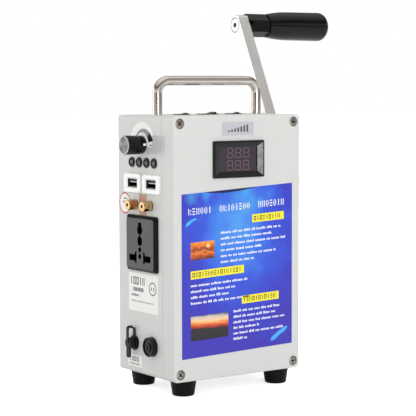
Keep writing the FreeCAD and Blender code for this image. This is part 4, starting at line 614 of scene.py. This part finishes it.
INK = {
    "white": printed("ink_white", srgb(240, 243, 250)),
    "yellow": printed("ink_yellow", srgb(250, 236, 44)),
    "navy": printed("ink_navy", srgb(24, 26, 78)),
    "cyan": printed("ink_cyan", srgb(70, 176, 250)),
    "black": printed("ink_black", srgb(14, 14, 17), 0.4),
    "dark_grey": printed("ink_dark_grey", srgb(84, 84, 90), 0.4),
    "grey": printed("ink_grey", srgb(140, 140, 142), 0.4),
    "amber": printed("ink_amber", srgb(252, 214, 120)),
    "red": printed("ink_red", srgb(186, 40, 66)),
    "salmon": printed("ink_salmon", srgb(188, 136, 112), 0.4),
}

# ------------------------------------------------------------------ the front label and the meter
label_gap = 6.0
label_rise_low, label_rise_high = 3.1, 5.0
label_width = label.x1 - label.x0
label_foot = label.z0
label_head = meter.z0 - label_gap - label_rise_high
label_height = label_head - label_foot


def label_place(u, v, lift):
    """u runs along the label in millimetres, and v up it from its rising foot to its rising head."""
    across = u / label_width
    low = label_foot + label_rise_low * across
    high = label_head + label_rise_high * across
    return label.x0 + u, label.y0 - lift, low + (high - low) * v / label_height


def label_print():
    """Blank type on the blue label, with dunes and a lake shore at dusk as small printed views."""
    dunes = (8, 75, 30, 88.5)
    shore = (8, 13, 43, 32)
    views = {}
    for key, (u0, v0, u1, v1), stops, scale, wobble, stretch in (
            ("dunes", dunes,
             [(0.0, srgb(74, 28, 14)), (0.22, srgb(196, 84, 26)), (0.40, srgb(236, 128, 44)),
              (0.56, srgb(120, 44, 18)), (0.70, srgb(232, 112, 30)), (1.0, srgb(250, 158, 62))],
             170, 0.22, (1, 1, 1.4)),
            ("shore", shore,
             [(0.0, srgb(26, 24, 28)), (0.42, srgb(38, 34, 40)), (0.52, srgb(180, 46, 34)),
              (0.62, srgb(240, 118, 50)), (0.74, srgb(252, 206, 138)), (0.86, srgb(214, 196, 190)),
              (1.0, srgb(84, 90, 116))],
             95, 0.11, (0.6, 1, 2.4))):
        z0 = label_place(u0, v0, 0)[2]
        z1 = label_place(u1, v1, 0)[2]
        views[key] = scenery("view_" + key, z0, z1, stops, scale, wobble, stretch)

    p = Print("front_label_print", label_place, "label_vinyl", {**INK, **views})
    top = label_height
    p.poly([(20, top), (28, top - 1.2), (40, top - 2.2), (54, top - 1.8), (64, top - 0.9), (72, top)], "navy",
           0.02)
    for u0, u1 in ((6, 30), (35, 67), (72, 99)):
        p.marks(u0, u1, 109.6, 5.0, 3.7, "white")
    for u0, u1, v in ((66, 97, 98.5), (8, 58, 60.5), (56, 92, 36.5)):
        p.bar(u0, v, u1, v + 6.2, "yellow", 0.2)
        p.marks(u0 + 1.6, u1 - 1.0, v + 1.4, 3.5, 2.9, "navy", 0.05)
    for first, pitch, spans in (
            (92.6, 4.5, ((36, 95), (36, 88), (36, 99), (36, 76), (36, 90), (36, 69))),
            (54.6, 4.5, ((8, 62), (8, 50), (8, 44), (8, 66))),
            (30.6, 4.3, ((48, 96), (48, 90), (48, 99), (48, 74), (48, 97), (48, 62)))):
        for i, (u0, u1) in enumerate(spans):
            p.words(u0, u1, first - pitch * i, 2.1, "white")
    p.bar(dunes[0], dunes[1], dunes[2], dunes[3], "dunes", 0.0)
    p.bar(shore[0], shore[1], shore[2], shore[3], "shore", 0.0)
    p.disc(dunes[0] + 16, dunes[1] + 10.2, 1.5, "amber", 0.05)
    p.poly([(84, 4.0), (88, 4.6), (93, 8.0), (98, 10.2), (101, 13.4), (99, 14.2), (94, 12.0), (89, 9.4),
            (85, 7.0)], "cyan", 0.02)
    p.poly([(3, 101), (6, 101.6), (10, 104.6), (14, 106.0), (12, 107.2), (7, 105.6), (4, 103.6)], "cyan",
           0.02)
    p.done()


def plate_print():
    """A plain gauge of rising bars on the small plate over the meter."""
    def place(u, v, lift):
        return meter.x + u, label.y0 - lift, label.z1 - 5.2 + v

    p = Print("meter_plate_print", place, "label_vinyl", INK)
    bars = 7
    for i in range(bars):
        u = -9.8 + 2.9 * i
        p.bar(u, -2.6, u + 1.7, -1.2 + 4.2 * i / (bars - 1), "dark_grey", 0.3)
    p.done()


def meter_digits():
    """Two rows of three unlit seven-segment figures, seen through the lens."""
    lit = Shader("meter_segment", 0.3, coat=0.3)
    lit.color(lit.mix(lit.noise(500, 3), srgb(104, 74, 88), srgb(122, 90, 106)))
    pitch, wide, tall, thick = 7.6, 5.5, 7.8, 0.62
    first, gap = -10.2, 1.8

    def place(u, v, lift):
        lean = 0.08 * (v % (tall + gap))
        return window.x + u + lean, window.y0 - lift, window.z + v

    p = Print("meter_digits", place, "meter_lens", {"lit": lit.mat})
    for foot in (gap / 2, -gap / 2 - tall):
        for k in range(3):
            u = first + pitch * k
            for v in (0, (tall - thick) / 2, tall - thick):
                p.bar(u + 0.6, foot + v, u + wide - 0.6, foot + v + thick, "lit", 0.2)
            for side in (0, wide - thick):
                for low, high in ((0.5, tall / 2 - 0.3), (tall / 2 + 0.3, tall - 0.5)):
                    p.bar(u + side, foot + low, u + side + thick, foot + high, "lit", 0.2)
            p.disc(u + wide + 1.0, foot + 0.45, 0.45, "lit", 0.03, 16)
    p.done()


label_print()
plate_print()
meter_digits()


# ------------------------------------------------------------------ printing on the outlet side
def side_place(y, z):
    """Face of the outlet side; u runs to the right as the side is seen."""
    def place(u, v, lift):
        return stickers.x0 - lift, y - u, z + v
    return place


def dial_print():
    """Tapering scale round the knob, and a short index dash under its thick end."""
    p = Print("dial_print", side_place(knob.y, knob.z), "paper_label", INK)
    inner_radius = 9.6
    thin_radius, growth = 10.8, 5.2
    start, end, steps = 150, 12, 32
    grey_share = 0.76
    p.sweep(lambda t: inner_radius, lambda t: thin_radius + growth * t ** 1.5, start, end, steps,
            lambda t: "grey" if t < grey_share else "black")
    p.bar(10.6, -0.6, 14.2, 0.3, "dark_grey", 0.2)
    p.done()


def rating_print():
    """Blank type over a barred strip, and a plain sign for a round outlet."""
    width, height = 42.0, 30.0
    p = Print("rating_print", side_place(stickers_right + width, rating_z - height / 2), "paper_label", INK)
    p.marks(2.6, 27, 20.8, 6.0, 4.3, "black")
    p.bar(6.6, 15.6, 21, 18.6, "dark_grey", 0.4)
    for i in range(6):
        p.bar(8.0 + 2.1 * i, 15.6, 8.5 + 2.1 * i, 18.6, "white", 0.0, 0.05)
    p.words(4, 16, 11.6, 2.3, "dark_grey")
    p.words(4, 37, 7.2, 1.5, "grey")
    p.done()
    q = Print("rating_mark", side_place(stickers_right + 7.6, rating_z + 4.4), "paper_label", INK)
    q.ring(4.4, 5.2, "black")
    for side in (-1, 1):
        q.bar(side * 1.8 - 0.5, -1.4, side * 1.8 + 0.5, 1.4, "black", 0.2)
    q.done()


def port_print():
    """Blank type on the small label under the charging jack."""
    p = Print("port_print", side_place(port_y, port_z), "paper_label", INK)
    p.marks(-8.2, 8.6, -0.6, 3.6, 3.6, "dark_grey")
    p.words(-8.4, 8.6, -3.3, 1.4, "dark_grey")
    p.done()


def round_print():
    """White disc with a thin red ring and two plain bars."""
    radius = 8.8
    p = Print("round_print", side_place(stickers.y1 - radius, posts[0].z + 0.3), "paper_label", INK)
    p.ring(7.4, 8.5, "red")
    p.bar(-2.2, 3.0, 3.4, 4.2, "grey", 0.4)
    p.bar(-3.4, 0.4, 1.8, 1.6, "grey", 0.4)
    p.done()


def strip_print():
    """Plain brown strip between the terminals."""
    p = Print("strip_print", side_place(strip_y, posts[0].z + 0.4), "paper_label", INK)
    p.bar(-5.4, -8.1, 5.4, 8.1, "salmon", 0.0, 0.01)
    p.done()


seam = lid.y1
stickers_right = seam + 5.8
rating_z = case.z0 + 64.6
port_y = seam + 39.4
port_z = case.z0 + 10.0
strip_y = seam + 26.6
dial_print()
rating_print()
port_print()
round_print()
strip_print()


# ------------------------------------------------------------------ small turned and inlaid pieces
def knob_mark():
    """White index line let into the side of the knob, near its foot."""
    white = printed("index_white", srgb(250, 250, 248), 0.3)
    tip_radius = (knob.z1 - knob.z0) / 2
    foot_radius = tip_radius - 0.3
    bm = bmesh.new()
    rows = []
    for x in (knob.x1 - 3.1, knob.x1 - 0.5):
        outward = (knob.x1 - x) / (knob.x1 - knob.x0)
        radius = foot_radius + (tip_radius - foot_radius) * outward + 0.03
        angles = [math.radians(3 + a) for a in range(-7, 8, 2)]
        points = [(x, knob.y - radius * math.cos(a), knob.z + radius * math.sin(a)) for a in angles]
        rows.append([bm.verts.new(Vector(point) * MM) for point in points])
    for i in range(len(rows[0]) - 1):
        bm.faces.new((rows[0][i], rows[1][i], rows[1][i + 1], rows[0][i + 1]))
    add_piece("knob_mark", bm, [white], "knob")


def lamp_cores():
    """Bright cup and chip inside each clear lamp."""
    lamps = Box("lamp_leds")
    count = 4
    radius = 2.5
    flange = 0.4
    first = lamps.y0 + radius + flange
    pitch = (lamps.y1 - lamps.y0 - 2 * (radius + flange)) / (count - 1)
    cup = metal("lamp_cup", srgb(120, 120, 124), 0.25)
    chip = printed("lamp_chip", srgb(250, 238, 160), 0.3)
    rings = ((0.9, 1.6), (1.2, 1.4), (2.4, 0.6), (2.4, 0.01))
    lens_front = 1.0
    sides = 20
    chip_band = 2
    bm = bmesh.new()
    for k in range(count):
        loops = []
        for depth, r in rings:
            x = lamps.x0 + depth + lens_front
            loop = []
            for i in range(sides):
                a = 2 * math.pi * i / sides
                y = first + pitch * k + r * math.cos(a)
                loop.append(bm.verts.new(Vector((x, y, lamps.z + r * math.sin(a))) * MM))
            loops.append(loop)
        for number, (near, far) in enumerate(zip(loops, loops[1:])):
            for i in range(sides):
                j = (i + 1) % sides
                face = bm.faces.new((near[i], near[j], far[j], far[i]))
                face.material_index = 1 if number == chip_band else 0
                face.smooth = True
    add_piece("lamp_cores", bm, [cup, chip], "box")


def usb_tongues():
    """Pale tongue in the upper half of each mouth."""
    pale = printed("tongue_plastic", srgb(196, 196, 198), 0.4)
    bm = bmesh.new()
    for port in "12":
        plug = Box("usb_port_" + port)
        size = Vector((9.0, plug.y1 - plug.y0 - 2.4, 0.9)) * MM
        at = Vector((plug.x0 + 4.6, plug.y, plug.z + 0.9)) * MM
        part = bmesh.ops.create_cube(bm, size=1.0)["verts"]
        bmesh.ops.scale(bm, vec=size, verts=part)
        bmesh.ops.translate(bm, vec=at, verts=part)
    bmesh.ops.bevel(bm, geom=bm.edges[:], offset=0.15 * MM, segments=2, affect="EDGES")
    add_piece("usb_tongues", bm, [pale], "box")


knob_mark()
lamp_cores()
usb_tongues()


# ------------------------------------------------------------------ floor, room and lamps
def floor():
    """White ground that keeps the shadow; it glows for the camera, and a little in gloss."""
    size = 9.0
    camera_glow, mirrored_glow = 0.68, 0.12
    bm = bmesh.new()
    bm.faces.new([bm.verts.new(c) for c in ((-size, -size, 0), (size, -size, 0), (size, size, 0),
                                            (-size, size, 0))])
    m = Shader("floor_white", 0.9, specular=0.1)
    m.color(m.mix(m.noise(3, 2), (0.86, 0.86, 0.86), (0.88, 0.88, 0.88)))
    rays = m.add("ShaderNodeLightPath")
    mirrored = m.math("MAXIMUM", rays.outputs["Is Glossy Ray"], rays.outputs["Is Transmission Ray"])
    seen = m.math("MULTIPLY", rays.outputs["Is Camera Ray"], camera_glow)
    glow = m.math("MULTIPLY_ADD", mirrored, mirrored_glow, seen)
    m.put("Emission Color", (1, 1, 1, 1))
    m.link(glow, m.bsdf.inputs["Emission Strength"])
    mesh = bpy.data.meshes.new("floor")
    bm.to_mesh(mesh)
    bm.free()
    mesh.materials.append(m.mat)
    ground = bpy.data.objects.new("floor", mesh)
    scene.collection.objects.link(ground)


# brightness of the room that gloss reflects, by degrees to the right of the photograph's view
AROUND = ((-180, 0.54), (-157, 0.62), (-131, 0.66), (-110, 0.60), (-88, 0.48), (-62, 0.56), (-44, 0.40),
          (-30, 0.22), (-18, 0.08), (-2, 0.08), (8, 0.30), (20, 0.70), (42, 0.70), (54, 0.20), (74, 0.20),
          (94, 0.24), (120, 0.32), (150, 0.42), (180, 0.54))
# the same, by degrees above the horizon
ABOVE = ((0, 0.66), (12, 0.66), (20, 0.38), (26, 0.12), (34, 0.16), (46, 0.58), (58, 0.72), (74, 0.78),
         (90, 0.78))


def room_stops(table, low, high):
    """Grey stops for a ramp; the dark ones are a little brown."""
    stops = []
    for angle, value in table:
        warm = 0.88 if value < 0.3 else 0.98
        stops.append(((angle - low) / (high - low), (value, value * warm, value * warm * warm)))
    return stops


def room():
    """White to the camera, a studio with a pattern to gloss, and plain light to the rest."""
    gloss_strength, plain_strength = 1.2, 0.62
    blend_low, blend_high = math.radians(3), math.radians(9)
    world = bpy.data.worlds.new("studio")
    scene.world = world
    world.use_nodes = True
    g = Graph(world.node_tree)
    direction = g.add("ShaderNodeTexCoord").outputs["Generated"]
    flat_front = Vector((toward_camera.x, toward_camera.y, 0)).normalized()
    azimuth = g.math("ARCTAN2", g.dot(direction, image_right), g.dot(direction, flat_front))
    around = g.ramp(g.remap(azimuth, -math.pi, math.pi, 0, 1), room_stops(AROUND, -180, 180))
    height = g.math("ARCSINE", g.dot(direction, (0, 0, 1)))
    above = g.ramp(g.remap(height, 0, math.pi / 2, 0, 1), room_stops(ABOVE, 0, 90))
    high = g.remap(height, blend_low, blend_high, 0, 1)
    reflected = g.set(g.add("ShaderNodeBackground"), i0=g.mix(high, around, above), i1=gloss_strength)
    diffuse = g.set(g.add("ShaderNodeBackground"), i0=(1, 1, 1, 1), i1=plain_strength)
    white = g.set(g.add("ShaderNodeBackground"), i0=(1, 1, 1, 1), i1=1.0)
    rays = g.add("ShaderNodeLightPath")
    lit = g.set(g.add("ShaderNodeMixShader"), i0=rays.outputs["Is Glossy Ray"], i1=diffuse.outputs[0],
                i2=reflected.outputs[0])
    shown = g.set(g.add("ShaderNodeMixShader"), i0=rays.outputs["Is Camera Ray"], i1=lit.outputs[0],
                  i2=white.outputs[0])
    g.link(shown.outputs[0], world.node_tree.nodes["World Output"].inputs["Surface"])


def softbox(name, at, aim, size, power, mirrored=False):
    data = bpy.data.lights.new(name, "AREA")
    data.shape = "RECTANGLE"
    data.size, data.size_y = size
    data.energy = power
    lamp = bpy.data.objects.new(name, data)
    scene.collection.objects.link(lamp)
    lamp.location = at
    lamp.rotation_euler = (Vector(aim) - Vector(at)).to_track_quat("-Z", "Y").to_euler()
    lamp.visible_camera = False
    lamp.visible_glossy = mirrored


floor()
room()
softbox("key", at=(0.15, -1.6, 0.55), aim=(0, 0, 0.10), size=(1.2, 1.0), power=7.4)
softbox("strip", at=(-0.34, -1.40, 0.19), aim=(0, 0, 0.18), size=(0.15, 0.36), power=2.0, mirrored=True)
softbox("top", at=(0.0, 0.1, 1.6), aim=(0, 0, 0.1), size=(1.4, 1.4), power=5.0)
softbox("side", at=(-1.03, 1.47, 0.40), aim=(0, 0, 0.20), size=(0.9, 1.1), power=4.5, mirrored=True)
softbox("fill", at=(-0.80, -0.12, 0.72), aim=(0, 0, 0.16), size=(0.7, 0.7), power=1.5)
softbox("rim", at=(1.3, 1.0, 0.9), aim=(0, 0, 0.15), size=(1.0, 1.0), power=4.2)
